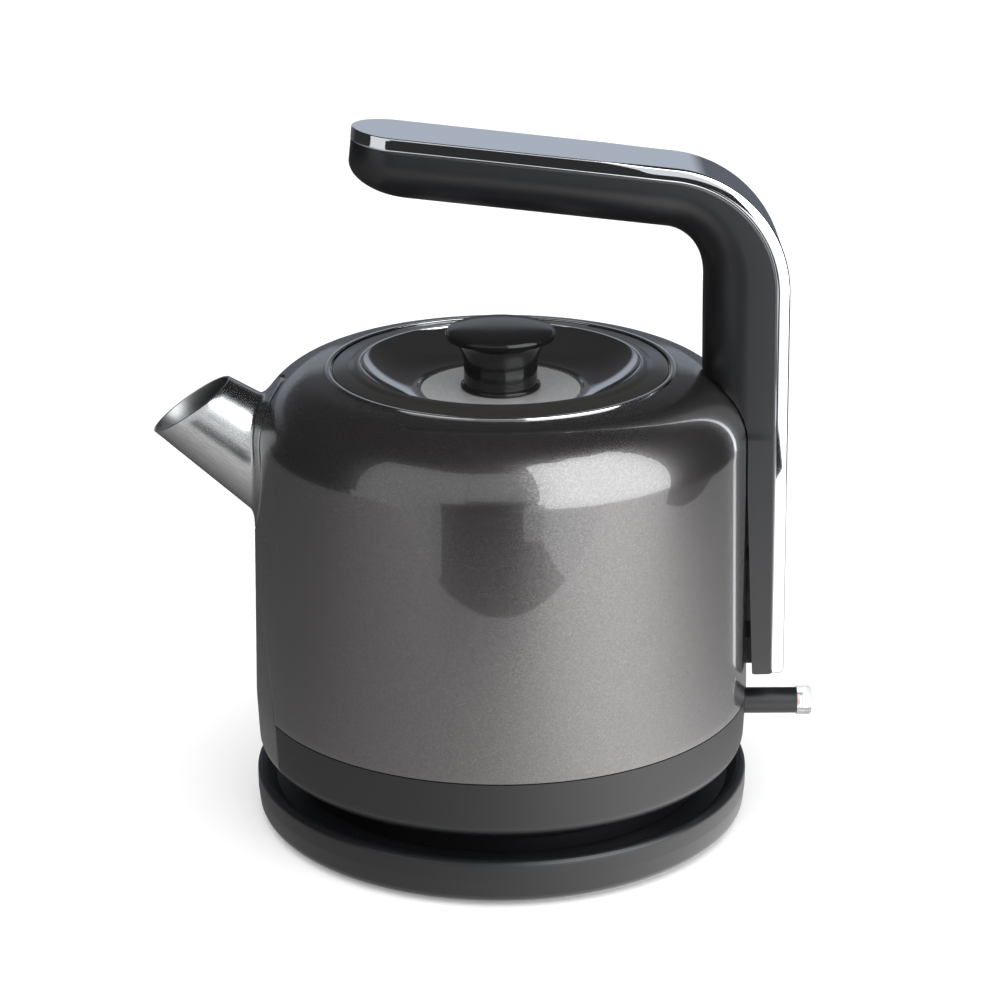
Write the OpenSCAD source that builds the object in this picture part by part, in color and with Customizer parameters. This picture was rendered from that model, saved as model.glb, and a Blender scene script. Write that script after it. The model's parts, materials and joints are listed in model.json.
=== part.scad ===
// Cordless electric kettle with an L-shaped over-arm handle, on its round power base.
// Millimetres, +Z up. Origin on the vertical axis of the kettle, at the level the feet stand on.
// The spout points to -X, the handle leg and the switch lever are at +X.

/* [Kettle body] */
// Radius of the painted shell at its lower edge
body_r = 79.2; // [70:0.1:96]
// Height of the seam between shell and lower band
seam_z = 41.3; // [38:0.1:52]
// Height of the shell at the lid opening
top_z = 147.9; // [122:0.1:180]
// Inward lean of the side wall, degrees
wall_lean = 1.1; // [0:0.1:2]
// Rounding radius of the shoulder
shoulder_r = 21; // [14:0.5:26]
// Slope of the crown round the lid, degrees
crown_slope = 8.3; // [4:0.1:14]
// Thickness of the painted shell
shell_t = 0.8; // [0.6:0.1:1.5]
// Air gap between shell and inner pot
pot_gap = 2.6; // [2:0.1:4]
// Thickness of the inner pot
pot_t = 0.6; // [0.5:0.1:1.2]
// Width of the seam round the front panel
seam_w = 0.5; // [0.3:0.1:1]

/* [Lid] */
// Outer radius of the lid rim
lid_r = 52.5; // [44:0.1:58]
// Gap between lid rim and neck ring
lid_gap = 0.7; // [0.4:0.1:1.5]
// Radius of the crest between flat rim and dish
dish_r = 44; // [38:0.5:48]
// Depth of the dish below the crest
dish_depth = 8.2; // [5:0.1:9]
// Radius of the brushed centre disc
disc_r = 25; // [18:0.5:30]
// Radius of the knob's top
knob_r = 16.9; // [14:0.1:20]
// Height of the knob above the centre disc
knob_h = 19.6; // [16:0.1:24]

/* [Spout] */
// Angle of the spout's axis above the horizontal, degrees
spout_tilt = 35; // [30:1:42]
// Radius of the spout at its mouth
spout_mouth_r = 13.6; // [10:0.1:16]
// Reach of the spout's tip from the kettle's axis
spout_reach = 108.6; // [104:0.1:126]
// Half angle of the spout's taper, degrees
spout_taper = 6; // [3:0.5:8]
// Wall of the spout
spout_t = 0.8; // [0.6:0.1:1.2]

/* [Handle] */
// Height of the grip's top above the origin, on the axis
grip_z = 219.5; // [212:0.5:250]
// Slope of the grip, degrees
grip_slope = 6.4; // [0:0.1:10]
// Reach of the grip's tip towards the spout
grip_reach = 45; // [30:1:60]
// Outer radius of the bend
bend_r = 40; // [34:1:48]
// Width of the handle
handle_w = 27; // [22:0.5:32]
// Depth of the grip, trim and plastic together
grip_depth = 20.5; // [18:0.5:26]
// Depth of the leg, trim and plastic together
leg_depth = 26; // [22:0.5:30]
// Thickness of the bright trim
trim_t = 4.2; // [2:0.1:6]
// Distance from shell to the outside of the leg
leg_out = 9.4; // [8:0.1:14]
// Height of the leg's lower end
leg_low_z = 48.5; // [45:0.5:60]

/* [Power base] */
// Outer radius of the base
base_r = 79.6; // [70:0.1:96]
// Height of the base's rim
rim_z = 15.5; // [15:0.1:18]
// Radius of the round cord hole
cord_hole_r = 3.3; // [2.5:0.1:3.5]
// Radius of the centre pin
pin_r = 3; // [2.5:0.1:3.4]

/* [Switch lever] */
// Height of the lever's axis
lever_z = 34; // [33:0.5:36]
// Radius of the lever's arm
lever_r = 4.2; // [3:0.1:4.4]
// Length of the arm outside the shell, lens included
lever_out = 21.4; // [14:0.1:26]
// Travel of the lever, degrees
lever_travel = 9; // [5:1:10]

/* [Hidden] */
$fn = 64;

// Clearances
fit_gap = 0.3;       // between pieces of bodies that move apart
run_gap = 0.05;      // round a pin that turns
snug_gap = 0.02;     // round a pin that is held

// Colours
shell_grey = [0.36, 0.34, 0.33];
band_grey = [0.24, 0.24, 0.26];
gloss_black = [0.03, 0.03, 0.03];
steel = [0.78, 0.78, 0.77];
dull_steel = [0.6, 0.6, 0.6];
bright = [0.9, 0.9, 0.92];
brass = [0.78, 0.62, 0.3];
white_plastic = [0.85, 0.85, 0.82];
silicone = [0.8, 0.8, 0.78];
rubber = [0.08, 0.08, 0.08];

// ---------- shared outlines ----------

function flip(points) = [for (i = [len(points) - 1:-1:0]) points[i]];
function arc(c, r, a0, a1, n) =
    [for (i = [0:n]) let (a = a0 + (a1 - a0) * i / n) [c[0] + r * cos(a), c[1] + r * sin(a)]];
function smooth(t) = let (u = min(max(t, 0), 1)) u * u * (3 - 2 * u);

// Side wall and crown are two straight lines of the profile, with the shoulder arc tangent to both.
neck_r = lid_r + lid_gap + 0.9;
function wall_r(z) = body_r - (z - seam_z) * tan(wall_lean);
function crown_z(r) = top_z - (r - neck_r) * tan(crown_slope);
wall_n = [cos(wall_lean), sin(wall_lean)];
crown_n = [sin(crown_slope), cos(crown_slope)];
wall_k = [body_r, seam_z] * wall_n - shoulder_r;
crown_k = [neck_r, top_z] * crown_n - shoulder_r;
line_det = wall_n[0] * crown_n[1] - wall_n[1] * crown_n[0];
shoulder_c = [
    (wall_k * crown_n[1] - crown_k * wall_n[1]) / line_det,
    (wall_n[0] * crown_k - crown_n[0] * wall_k) / line_det
];

// Profile of the body, off millimetres inside the painted surface, from z_low up to radius r_end
function body_path(off, z_low, r_end) = concat(
    [[wall_r(z_low) - off / cos(wall_lean), z_low]],
    arc(shoulder_c, shoulder_r - off, wall_lean, 90 - crown_slope, 16),
    [[r_end, crown_z(r_end) - off / cos(crown_slope)]]
);

module body_skin(off, t, z_low, r_end) {
    rotate_extrude() polygon(concat(body_path(off, z_low, r_end), flip(body_path(off + t, z_low, r_end))));
}

module body_block(off, z_low) {
    rotate_extrude() polygon(concat([[0, z_low]], body_path(off, z_low, neck_r - 10), [[0, top_z + 20]]));
}

module ring(r_in, r_out, z0, z1) {
    translate([0, 0, z0]) difference() {
        cylinder(r = r_out, h = z1 - z0);
        translate([0, 0, -1]) cylinder(r = r_in, h = z1 - z0 + 2);
    }
}

// Copies round the axis
module around(n, r, start = 0) {
    for (i = [0:n - 1]) rotate([0, 0, start + i * 360 / n]) translate([r, 0, 0]) children();
}

// ---------- levels inside the kettle ----------

band_low_z = 22.5;                  // lowest point of the band's outer face
foot_r = 66;                        // ring the kettle stands on
tray_t = 2;
tray_z = 12;                        // top of the base's floor
foot_z = tray_z + fit_gap;
under_z = foot_z + 3.2;             // underside of the bottom cover
cover_t = 2;
socket_r = 26;
floor_z = seam_z + 9.5;             // top of the pot's floor
floor_t = 1.2;
heat_t = 3.4;
heat_z = floor_z - floor_t - heat_t;
tube_r = 3.2;                       // heating element
element_z = heat_z - tube_r;
element_ring_r = 46;
control_top_z = heat_z - 8;
cover_screws_r = 56;
boss_top_z = under_z + 16.5;        // posts of the bottom cover meet the posts of the pot here
pot_off = shell_t + pot_gap;
pot_in = pot_off + pot_t;

lever_pivot_x = body_r - 10.2;      // pivot of the switch lever
slot_low_z = lever_z - lever_r - sin(lever_travel) * (body_r - lever_pivot_x) - 0.6;
slot_high_z = min(lever_z + lever_r + 0.6, seam_z - 1);

// ---------- front cut-out: a disc round the spout over a bell-shaped skirt ----------

spout_root_r = body_r - 2.2;
spout_u = [-cos(spout_tilt), sin(spout_tilt)];
spout_n = [sin(spout_tilt), cos(spout_tilt)];
spout_root_z = top_z - 26.7;        // where the spout's axis meets the wall
front_c = spout_root_z - 1.5;
front_r = spout_mouth_r + 10.4;
front_split_z = front_c - front_r + 5.8;
skirt_w = 35;
waist_w = front_r * 0.68;

function skirt_half(z, grow) =
    let (t = (z - (seam_z - 5)) / (front_split_z - 3 - (seam_z - 5)))
    grow + skirt_w + (waist_w - skirt_w) * smooth(t);

module towards_spout(x0, x1) {
    translate([-x0, 0, 0]) rotate([90, 0, -90]) linear_extrude(x1 - x0) children();
}

module skirt_outline(grow) {
    steps = 16;
    z0 = band_low_z - 12;
    z1 = front_split_z + grow;
    right = [for (i = [0:steps]) let (z = z0 + (z1 - z0) * i / steps) [skirt_half(z, grow), z]];
    left = [for (p = flip(right)) [-p[0], p[1]]];
    polygon(concat(right, left));
}

module front_disc(grow) {
    translate([0, front_c]) circle(r = front_r + grow);
}

module front_cut(grow) {
    towards_spout(body_r * 0.5, body_r + 6) union() {
        skirt_outline(grow);
        front_disc(grow);
    }
}

// Outer face of the lower band, from its rounded lower edge up to z_top
function band_path(off, z_top) = concat(
    [[body_r - 7 - off, band_low_z - 0.6 + off]],
    arc([body_r - 6, band_low_z + 5], 5.4 - off, -70, 0, 6),
    [[body_r - off, z_top]]
);

// ---------- power base ----------

floor_edge_r = base_r - 6;
hole_screws_r = 50;

module base_upper() {
    outside = concat(
        [[base_r - 4.4, 0.8]],
        arc([base_r - 4.4, 4.8], 4, -90, 0, 6),
        [[base_r, 9]],
        arc([base_r - 1.8, rim_z - 1.8], 1.8, 0, 90, 5),
        [[base_r - 3, rim_z - 0.3], [floor_edge_r, tray_z]]
    );
    inside = [
        [floor_edge_r - 1, tray_z - tray_t], [base_r - 3.4, rim_z - 2.4], [base_r - 2.2, rim_z - 3.2],
        [base_r - 2.2, 5], [base_r - 4.4, 2.8]
    ];
    color(band_grey) difference() {
        union() {
            rotate_extrude() polygon(concat(outside, [[20, tray_z], [20, tray_z - tray_t]], inside));
            around(3, hole_screws_r, 30) cylinder(r = 3.4, h = tray_z - 1);
        }
        around(3, hole_screws_r, 30) translate([0, 0, -1]) cylinder(r = 1.5, h = tray_z - 2.5);
        translate([0, 0, -10]) cylinder(r = base_r - 4.2, h = 12.6);
        cord_way(4 + snug_gap);
    }
}

cord_z = 6.6;

module cord_way(r) {
    translate([0, base_r - 14, cord_z]) rotate([-90, 0, 0]) cylinder(r = r, h = 20);
}

module base_lower() {
    color(band_grey) difference() {
        union() {
            translate([0, 0, 0.8]) cylinder(r = base_r - 4.6, h = 1.7);
            translate([0, 0, 2.4]) ring(18, 20, 0, 1.4);
        }
        around(3, hole_screws_r, 30) {
            translate([0, 0, -1]) cylinder(r = 1.8, h = 6);
            translate([0, 0, 0.4]) cylinder(r = 3.2, h = 1.2);
        }
        around(4, base_r - 17, 45) cylinder(r = 5.05, h = 1.6);
    }
}

module base_feet() {
    color(rubber) around(4, base_r - 17, 45) cylinder(r = 5, h = 1.6);
}

module base_screws() {
    color(dull_steel) around(3, hole_screws_r, 30) {
        translate([0, 0, 0.9]) cylinder(r = 3, h = 0.7);
        translate([0, 0, 1.5]) cylinder(r = 1.48, h = tray_z - 5.5);
    }
}

boss_r = 18.5;
boss_z = tray_z + 9;
sleeve_r = 4.8;                     // earth sleeve of the kettle, round the centre pin
sleeve_low_z = boss_z - 2;
groove_in = [7.4, 10.2];
groove_out = [12.4, 15.2];

module base_connector() {
    color(gloss_black) difference() {
        union() {
            translate([0, 0, 4]) cylinder(r = boss_r, h = boss_z - 4);
            translate([0, 0, tray_z - tray_t - 1.6]) cylinder(r = 24, h = 1.6);
        }
        translate([0, 0, 3]) cylinder(r = pin_r + run_gap, h = boss_z);
        translate([0, 0, 3]) cylinder(r = 5, h = 3.2);
        translate([0, 0, sleeve_low_z - fit_gap]) cylinder(r = sleeve_r + fit_gap, h = boss_z);
        ring(groove_in[0], groove_in[1], tray_z + 0.5, boss_z + 1);
        ring(groove_out[0], groove_out[1], tray_z + 0.5, boss_z + 1);
    }
}

module base_contacts() {
    color(brass) for (g = [groove_in, groove_out])
        ring(g[0] + 0.4, g[1] - 0.4, tray_z + 0.5, tray_z + 1.7);
}

module cord_gland() {
    color(rubber) difference() {
        union() {
            translate([0, base_r - 6, cord_z]) rotate([-90, 0, 0]) cylinder(r = 4, h = 8);
            translate([0, base_r + 0.1, cord_z]) rotate([-90, 0, 0]) cylinder(r = 5, h = 2.8);
        }
        translate([0, base_r - 8, cord_z]) rotate([-90, 0, 0]) cylinder(r = cord_hole_r, h = 14);
    }
}

module cord_clamp() {
    color(white_plastic) difference() {
        translate([-9, base_r - 20, 2.6]) cube([18, 7, 6.8]);
        translate([0, base_r - 22, cord_z - 0.3]) rotate([-90, 0, 0]) cylinder(r = cord_hole_r, h = 12);
        translate([-cord_hole_r, base_r - 22, 2]) cube([2 * cord_hole_r, 12, cord_z - 2.3]);
    }
}

// The round pin turns with the kettle while the kettle stands on the base
module centre_pin() {
    color(brass) {
        translate([0, 0, 3.6]) cylinder(r = 4.6, h = 2.3);
        translate([0, 0, 5.5]) cylinder(r = pin_r, h = boss_z - 4.3);
        translate([0, 0, boss_z + 1.2]) intersection() {
            sphere(r = pin_r);
            cylinder(r = pin_r, h = pin_r);
        }
    }
}

// ---------- kettle casing ----------

module outer_shell() {
    color(shell_grey) difference() {
        body_skin(0, shell_t, seam_z, neck_r);
        front_cut(seam_w);
        handle_screw_holes(1.7);
    }
}

module front_panel() {
    color(shell_grey) intersection() {
        rotate_extrude() polygon(concat(
            band_path(0, seam_z), body_path(0, seam_z + 0.4, neck_r),
            flip(body_path(shell_t, seam_z + 0.4, neck_r)), flip(band_path(shell_t, seam_z))
        ));
        towards_spout(body_r * 0.5, body_r + 6) difference() {
            skirt_outline(0);
            front_disc(seam_w);
        }
    }
}

module bottom_cover() {
    top = seam_z - 0.35;
    wall = 2.2;
    outside = concat(
        [[foot_r - 3.4, foot_z], [foot_r, foot_z], [foot_r + 1.4, band_low_z - 5]],
        band_path(0, top)
    );
    inside = concat(
        [[body_r - wall, top], [body_r - wall, band_low_z + 5], [body_r - 6, band_low_z + 1.8]],
        [[foot_r - 1, band_low_z - 3], [foot_r - 2, under_z + cover_t], [socket_r + 0.6, under_z + cover_t]],
        [[socket_r + 0.6, under_z], [foot_r - 3.4, under_z]]
    );
    color(band_grey) difference() {
        union() {
            rotate_extrude() polygon(concat(outside, inside));
            around(3, cover_screws_r, 60)
                translate([0, 0, under_z + 0.5]) cylinder(r = 3.6, h = boss_top_z - under_z - 0.5);
        }
        intersection() {
            front_cut(seam_w);
            rotate_extrude() polygon(concat(
                band_path(shell_t + 0.05, seam_z), [[body_r + 5, seam_z + 5], [body_r + 5, band_low_z - 4]],
                [[body_r - 7 - shell_t, band_low_z - 4]]
            ));
        }
        around(3, cover_screws_r, 60) {
            translate([0, 0, under_z - 1]) cylinder(r = 1.7, h = 30);
            translate([0, 0, under_z - 1]) cylinder(r = 3.1, h = 2.6);
        }
        lever_slot();
    }
}

// Opening that the switch lever swings in
module lever_slot() {
    w = 2 * lever_r + 1.2;
    translate([body_r - 12, -w / 2, slot_low_z]) cube([20, w, slot_high_z - slot_low_z]);
}

module bottom_screws() {
    color(dull_steel) around(3, cover_screws_r, 60) {
        translate([0, 0, under_z + 0.2]) cylinder(r = 2.9, h = 1.4);
        translate([0, 0, under_z + 1]) cylinder(r = 1.5, h = heat_z - under_z - 6);
    }
}

module inner_pot() {
    color(steel) difference() {
        body_skin(pot_off, pot_t, seam_z + 3, lid_r + lid_gap + 0.8);
        spout_cone(-spout_t, 50);
    }
}

// Bright ring that lines the lid opening and carries the lid on its lower ledge
ledge_z = top_z - 14;
ledge_w = 2.8;

module neck_ring() {
    r0 = lid_r + lid_gap;
    lip = top_z + 0.4;
    color(bright) rotate_extrude() polygon([
        [r0 - ledge_w, ledge_z - 0.7], [r0 + 0.7, ledge_z - 0.7], [r0 + 0.7, top_z + 0.02],
        [r0 + 1.5, crown_z(r0 + 1.5) + 0.02], [r0 + 1.5, lip - 0.2], [r0 + 1.2, lip], [r0, lip],
        [r0, ledge_z], [r0 - ledge_w, ledge_z]
    ]);
}

function pot_r(z) = wall_r(z) - pot_in / cos(wall_lean);

module pot_floor() {
    r = pot_r(floor_z + 3) - snug_gap;
    color(steel) difference() {
        union() {
            rotate_extrude() polygon([
                [0, floor_z - floor_t], [r, floor_z - floor_t], [r, floor_z + 3], [r - 0.6, floor_z + 3],
                [r - 0.6, floor_z], [0, floor_z]
            ]);
            around(3, cover_screws_r, 60)
                translate([0, 0, boss_top_z + 0.1]) cylinder(r = 3, h = floor_z - boss_top_z - 0.5);
        }
        around(3, cover_screws_r, 60)
            translate([0, 0, boss_top_z]) cylinder(r = 1.5 + snug_gap, h = heat_z - boss_top_z - 4);
        translate([steam_x, 0, floor_z - 5]) cylinder(r = 4.2, h = 10);
    }
}

module heat_plate() {
    color(dull_steel) difference() {
        translate([0, 0, heat_z]) cylinder(r = element_ring_r + tube_r + 2, h = heat_t);
        around(3, 20, 90) translate([0, 0, heat_z - 1]) cylinder(r = 1.5, h = 3.5);
    }
}

module heating_element() {
    color(dull_steel) translate([0, 0, element_z]) {
        rotate([0, 0, 30]) rotate_extrude(angle = 300) translate([element_ring_r, 0]) circle(r = tube_r);
        for (s = [-1, 1]) rotate([0, 0, s * 30])
            translate([element_ring_r, 0, -10]) cylinder(r = tube_r + 0.5, h = 12);
    }
}

module element_terminals() {
    color(brass) for (s = [-1, 1]) rotate([0, 0, s * 30])
        translate([element_ring_r, 0, element_z - 16]) cylinder(r = 1.3, h = 6);
}

module control_unit() {
    color(white_plastic) difference() {
        union() {
            translate([0, 0, under_z]) cylinder(r = socket_r, h = control_top_z - under_z);
            translate([0, 0, control_top_z - 3]) cylinder(r = socket_r + 3, h = 3);
        }
        translate([0, 0, under_z - 1]) cylinder(r = boss_r + 1, h = boss_z + 1.6 - under_z);
        translate([0, 0, under_z]) cylinder(r = sleeve_r, h = boss_z - under_z + 8);
        for (r = [socket_inner, socket_outer]) ring(r - 0.7, r + 0.7, under_z, boss_z + 6);
        around(3, 20, 90) translate([0, 0, control_top_z - 9]) cylinder(r = 1.5, h = 10);
        around(2, 10, 0) translate([0, 0, control_top_z - 2]) cylinder(r = 7.4, h = 4);
    }
}

socket_inner = (groove_in[0] + groove_in[1]) / 2;
socket_outer = (groove_out[0] + groove_out[1]) / 2;

module socket_ring(r) {
    color(brass) ring(r - 0.7, r + 0.7, tray_z + 2.2, boss_z + 6);
}

module socket_ring_inner() {
    socket_ring(socket_inner);
}

module socket_ring_outer() {
    socket_ring(socket_outer);
}

module earth_sleeve() {
    color(brass) ring(pin_r + fit_gap, sleeve_r, sleeve_low_z, boss_z + 7);
}

module control_studs() {
    color(dull_steel) around(3, 20, 90) {
        translate([0, 0, control_top_z - 8]) cylinder(r = 1.48, h = heat_z - control_top_z + 9.5);
        translate([0, 0, control_top_z]) cylinder(r = 3, h = heat_z - control_top_z);
    }
}

module dry_boil_discs() {
    color(brass) around(2, 10, 0) {
        translate([0, 0, control_top_z - 1.9]) cylinder(r = 2, h = 5);
        translate([0, 0, control_top_z + 3.1]) cylinder(r = 7, h = 0.6);
    }
}

steam_x = body_r - 16;
steam_top_z = top_z - 22;

module steam_tube() {
    color(steel) translate([steam_x, 0, 0]) ring(2.4, 3, floor_z - 5, steam_top_z);
}

module steam_seal() {
    color(silicone) translate([steam_x, 0, 0]) {
        ring(3, 4.2, floor_z - floor_t, floor_z);
        ring(3, 5.2, floor_z, floor_z + 1.2);
    }
}

// ---------- switch ----------

pin_lever_r = 1.5;
hub_r = 4.4;
hub_w = 9;
ear_t = 2;

module across(x, z, r, w) {
    translate([x, w / 2, z]) rotate([90, 0, 0]) cylinder(r = r, h = w);
}

tail_x = lever_pivot_x - 7.5;
spring_r = 2;
shelf_z = band_low_z + 4;
spring_top_z = lever_z - 2.2;

module steam_switch() {
    w = hub_w + 2 * ear_t + 0.8;
    foot_x = foot_r - 12;           // the foot stands on the floor of the bottom cover
    back_x = lever_pivot_x - 15;
    shelf_x = min(foot_x, back_x);
    ear_h = lever_z - shelf_z + 5;
    color(white_plastic) difference() {
        union() {
            translate([foot_x, -w / 2, under_z + cover_t]) cube([7, w, shelf_z - under_z - cover_t]);
            translate([shelf_x, -w / 2, shelf_z - 2]) cube([lever_pivot_x + 3 - shelf_x, w, 2]);
            for (y = [-w / 2, w / 2 - ear_t])
                translate([lever_pivot_x - 3, y, shelf_z - 1]) cube([6, ear_t, ear_h]);
            translate([back_x, -w / 2, shelf_z - 1]) cube([2, w, ear_h]);
        }
        across(lever_pivot_x, lever_z, pin_lever_r + snug_gap, w + 2);
    }
}

module steam_disc() {
    color(brass) translate([lever_pivot_x - 13, 0, lever_z - 1])
        rotate([0, 90, 0]) cylinder(r = 4.5, h = 0.5);
}

module lever_pin() {
    color(dull_steel) across(lever_pivot_x, lever_z, pin_lever_r, hub_w + 2 * ear_t + 0.8);
}

// Coil spring under the lever's tail, as a tube of six sides along a helix
module lever_spring() {
    turns = 4;
    wire = 0.3;
    per_turn = 12;
    height = spring_top_z - shelf_z - 2 * wire - 0.1;
    n = turns * per_turn;
    rings = [for (i = [0:n]) let (a = i * 360 / per_turn, z = shelf_z + wire + 0.05 + height * i / n)
        [for (k = [0:5]) let (b = k * 60, r = spring_r + wire * cos(b))
            [tail_x + r * cos(a), r * sin(a), z + wire * sin(b)]]];
    color(dull_steel) tube_of(rings);
}

module switch_lever() {
    end_x = body_r + lever_out - lens_len;
    color(band_grey) difference() {
        union() {
            across(lever_pivot_x, lever_z, hub_r, hub_w);
            translate([lever_pivot_x, 0, lever_z]) rotate([0, 90, 0])
                cylinder(r = lever_r, h = end_x - lever_pivot_x);
            translate([tail_x - 2.4, -2.5, lever_z - 2.2]) cube([8, 5, 4.4]);
        }
        across(lever_pivot_x, lever_z, pin_lever_r + run_gap, hub_w + 2);
        translate([end_x - 6, 0, lever_z]) rotate([0, 90, 0]) cylinder(r = 2.2, h = 8);
    }
}

lens_len = 4.7;

module lever_lens() {
    r = lever_r + 0.45;
    x0 = body_r + lever_out - lens_len;
    profile = concat(
        [[1.7, -3], [2.1, -3], [2.1, 0], [r, 0]], arc([r - 1, lens_len - 1], 1, 0, 90, 5),
        [[0, lens_len], [0, 2], [1.7, 2]]
    );
    color([0.9, 0.92, 0.92, 0.5])
        translate([x0, 0, lever_z]) rotate([0, 90, 0]) rotate_extrude() polygon(profile);
}

module lever_lamp() {
    color([1, 0.5, 0.3]) translate([body_r + lever_out - lens_len - 5.5, 0, lever_z])
        rotate([0, 90, 0]) cylinder(r = 1.5, h = 6.5);
}

// ---------- spout ----------

// The spout is a cone on the line through (-spout_root_r, spout_root_z); s runs along it to the mouth.
function spout_point(s, t) = [
    -spout_root_r + spout_u[0] * s + spout_n[0] * t,
    spout_root_z + spout_u[1] * s + spout_n[1] * t
];
mouth_angle = 33.7;                 // slope of the mouth's plane
mouth_s = (spout_reach - spout_root_r - sin(spout_tilt) * spout_mouth_r) / cos(spout_tilt) - 4;
function spout_r(s) = spout_mouth_r + (mouth_s - s) * tan(spout_taper);

module along_spout() {
    translate([-spout_root_r, 0, spout_root_z]) rotate([0, spout_tilt - 90, 0]) children();
}

module spout_cone(grow, ahead) {
    back = 24;
    along_spout() translate([0, 0, -back])
        cylinder(r1 = spout_r(-back) + grow, r2 = spout_r(mouth_s + ahead) + grow, h = back + mouth_s + ahead);
}

module mouth_half() {
    tip_t = -spout_r(mouth_s + 5);
    tip = spout_point(mouth_s + 5, tip_t);
    translate([tip[0], 0, tip[1]]) rotate([0, -mouth_angle, 0]) translate([-60, -40, 0]) cube([120, 80, 60]);
}

module spout() {
    color(steel) difference() {
        union() {
            difference() {
                spout_cone(0, 18);
                mouth_half();
                body_block(pot_off, seam_z + 2);
            }
            intersection() {
                body_skin(-0.3, shell_t + 0.3, seam_z, neck_r);
                towards_spout(body_r * 0.5, body_r + 6) front_disc(0);
            }
        }
        spout_cone(-spout_t, 30);
    }
}

module spout_strainer() {
    pitch = 4.2;
    color(dull_steel) difference() {
        intersection() {
            body_skin(pot_in, 0.5, seam_z, neck_r - 1);
            towards_spout(body_r * 0.5, body_r) translate([0, spout_root_z - 2]) circle(r = 20);
        }
        for (i = [-3:3], j = [-3:3])
            let (y = (i + (j % 2) / 2) * pitch, z = j * pitch * 0.87)
                if (norm([y, z]) < 15)
                    translate([-body_r, y, spout_root_z - 2 + z]) rotate([0, 90, 0]) cylinder(r = 1.2, h = 20);
    }
}

// ---------- handle ----------

// Outer face of the handle: a sloping line, the bend and a line down the leg.
leg_lean = 0.75;
leg_x = body_r + leg_out;                       // outer face at the top of the leg
grip_dir = [cos(grip_slope), -sin(grip_slope)];
grip_in = [-sin(grip_slope), -cos(grip_slope)];
leg_dir = [sin(leg_lean), -cos(leg_lean)];
leg_in = [-cos(leg_lean), -sin(leg_lean)];
leg_ref_z = grip_z - 47.5;
// Centre of the bend lies bend_r inside both lines.
bend_c = let (
    k1 = [0, grip_z] * grip_in + bend_r,
    k2 = [leg_x, leg_ref_z] * leg_in + bend_r,
    det = grip_in[0] * leg_in[1] - grip_in[1] * leg_in[0]
) [(k1 * leg_in[1] - k2 * grip_in[1]) / det, (grip_in[0] * k2 - leg_in[0] * k1) / det];
tip_p = [-grip_reach, grip_z + grip_reach * tan(grip_slope)];
bend_start = bend_c - grip_in * bend_r;
bend_end = bend_c - leg_in * bend_r;
grip_len = norm(bend_start - tip_p);
leg_len = (bend_end[1] - leg_low_z) / cos(leg_lean);

// Point at depth d below the outer face: straight grip, bend, straight leg
function grip_point(s, d) = tip_p + grip_dir * s + grip_in * d;
function bend_point(a, d) = bend_c + (bend_r - d) * [sin(a), cos(a)];
function leg_point(s, d) = bend_end + leg_dir * s + leg_in * d;
bend_a0 = grip_slope;
bend_a1 = 90 + leg_lean;
bend_steps = 10;

function band_line(d) = concat(
    [grip_point(0, d)],
    [for (i = [0:bend_steps]) bend_point(bend_a0 + (bend_a1 - bend_a0) * i / bend_steps, d)],
    [leg_point(leg_len, d)]
);

// Side outline extruded across the handle's width
module across_handle(w) {
    translate([0, w / 2, 0]) rotate([90, 0, 0]) linear_extrude(w) children();
}

module tip_round(w) {
    // everything behind the rounded end of the grip
    translate([tip_p[0], 0, tip_p[1]]) rotate([0, grip_slope, 0]) union() {
        translate([w / 2, 0, -40]) cylinder(r = w / 2, h = 60);
        translate([w / 2, -w, -200]) cube([200, 2 * w, 260]);
    }
}

module handle_trim() {
    color(bright) difference() {
        intersection() {
            across_handle(handle_w) polygon(concat(band_line(0), flip(band_line(trim_t))));
            tip_round(handle_w);
        }
        trim_screw_holes(1.5, 3);
    }
}

// The plastic part is a tube of U-shaped sections: flat under the trim, round on the inside.
function section(half_w, depth) =
    let (knee = max(trim_t + 1, depth - handle_w / 2))
    concat(
        [[half_w, trim_t]],
        [for (k = [0:10]) let (a = k * 18) [half_w * cos(a), knee + (depth - knee) * sin(a)]],
        [[-half_w, trim_t]]
    );

function place(outline, p, inward) =
    [for (q = outline) [p[0] + inward[0] * q[1], q[0], p[1] + inward[1] * q[1]]];

function tip_half(u) = let (r = handle_w / 2) u >= r ? r : sqrt(r * r - (r - u) * (r - u));
function tip_depth(u) = let (l = 19, f = max(1 - u / l, 0)) grip_depth - 10 * (1 - sqrt(1 - f * f));

tip_stations = [0.25, 1, 2.5, 5, 8.5, 13.5, 19];

handle_sections = concat(
    [for (u = tip_stations) place(section(tip_half(u), tip_depth(u)), grip_point(u, 0), grip_in)],
    [for (i = [0:bend_steps]) let (t = i / bend_steps, a = bend_a0 + (bend_a1 - bend_a0) * t)
        place(
            section(handle_w / 2, grip_depth + (leg_depth - grip_depth) * smooth(t)),
            bend_point(a, 0), [-sin(a), -cos(a)]
        )],
    [place(section(handle_w / 2, leg_depth), leg_point(leg_len, 0), leg_in)]
);

// Closed skin through a list of rings with equal numbers of points
module tube_of(rings) {
    m = len(rings[0]);
    n = len(rings);
    points = [for (r = rings, p = r) p];
    sides = [for (i = [0:n - 2], k = [0:m - 1])
        let (a = i * m + k, b = i * m + (k + 1) % m)
            each [[a, b, b + m], [a, b + m, a + m]]];
    first = [[for (k = [m - 1:-1:0]) k]];
    last = [[for (k = [0:m - 1]) (n - 1) * m + k]];
    polyhedron(points, concat(first, sides, last), convexity = 6);
}

// Space the leg leaves round the shell: close at the shoulder, wider towards the bottom
leg_gap_top = 0.35;
leg_gap_low = 2.2;
gap_start_z = leg_low_z + 62;

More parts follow.
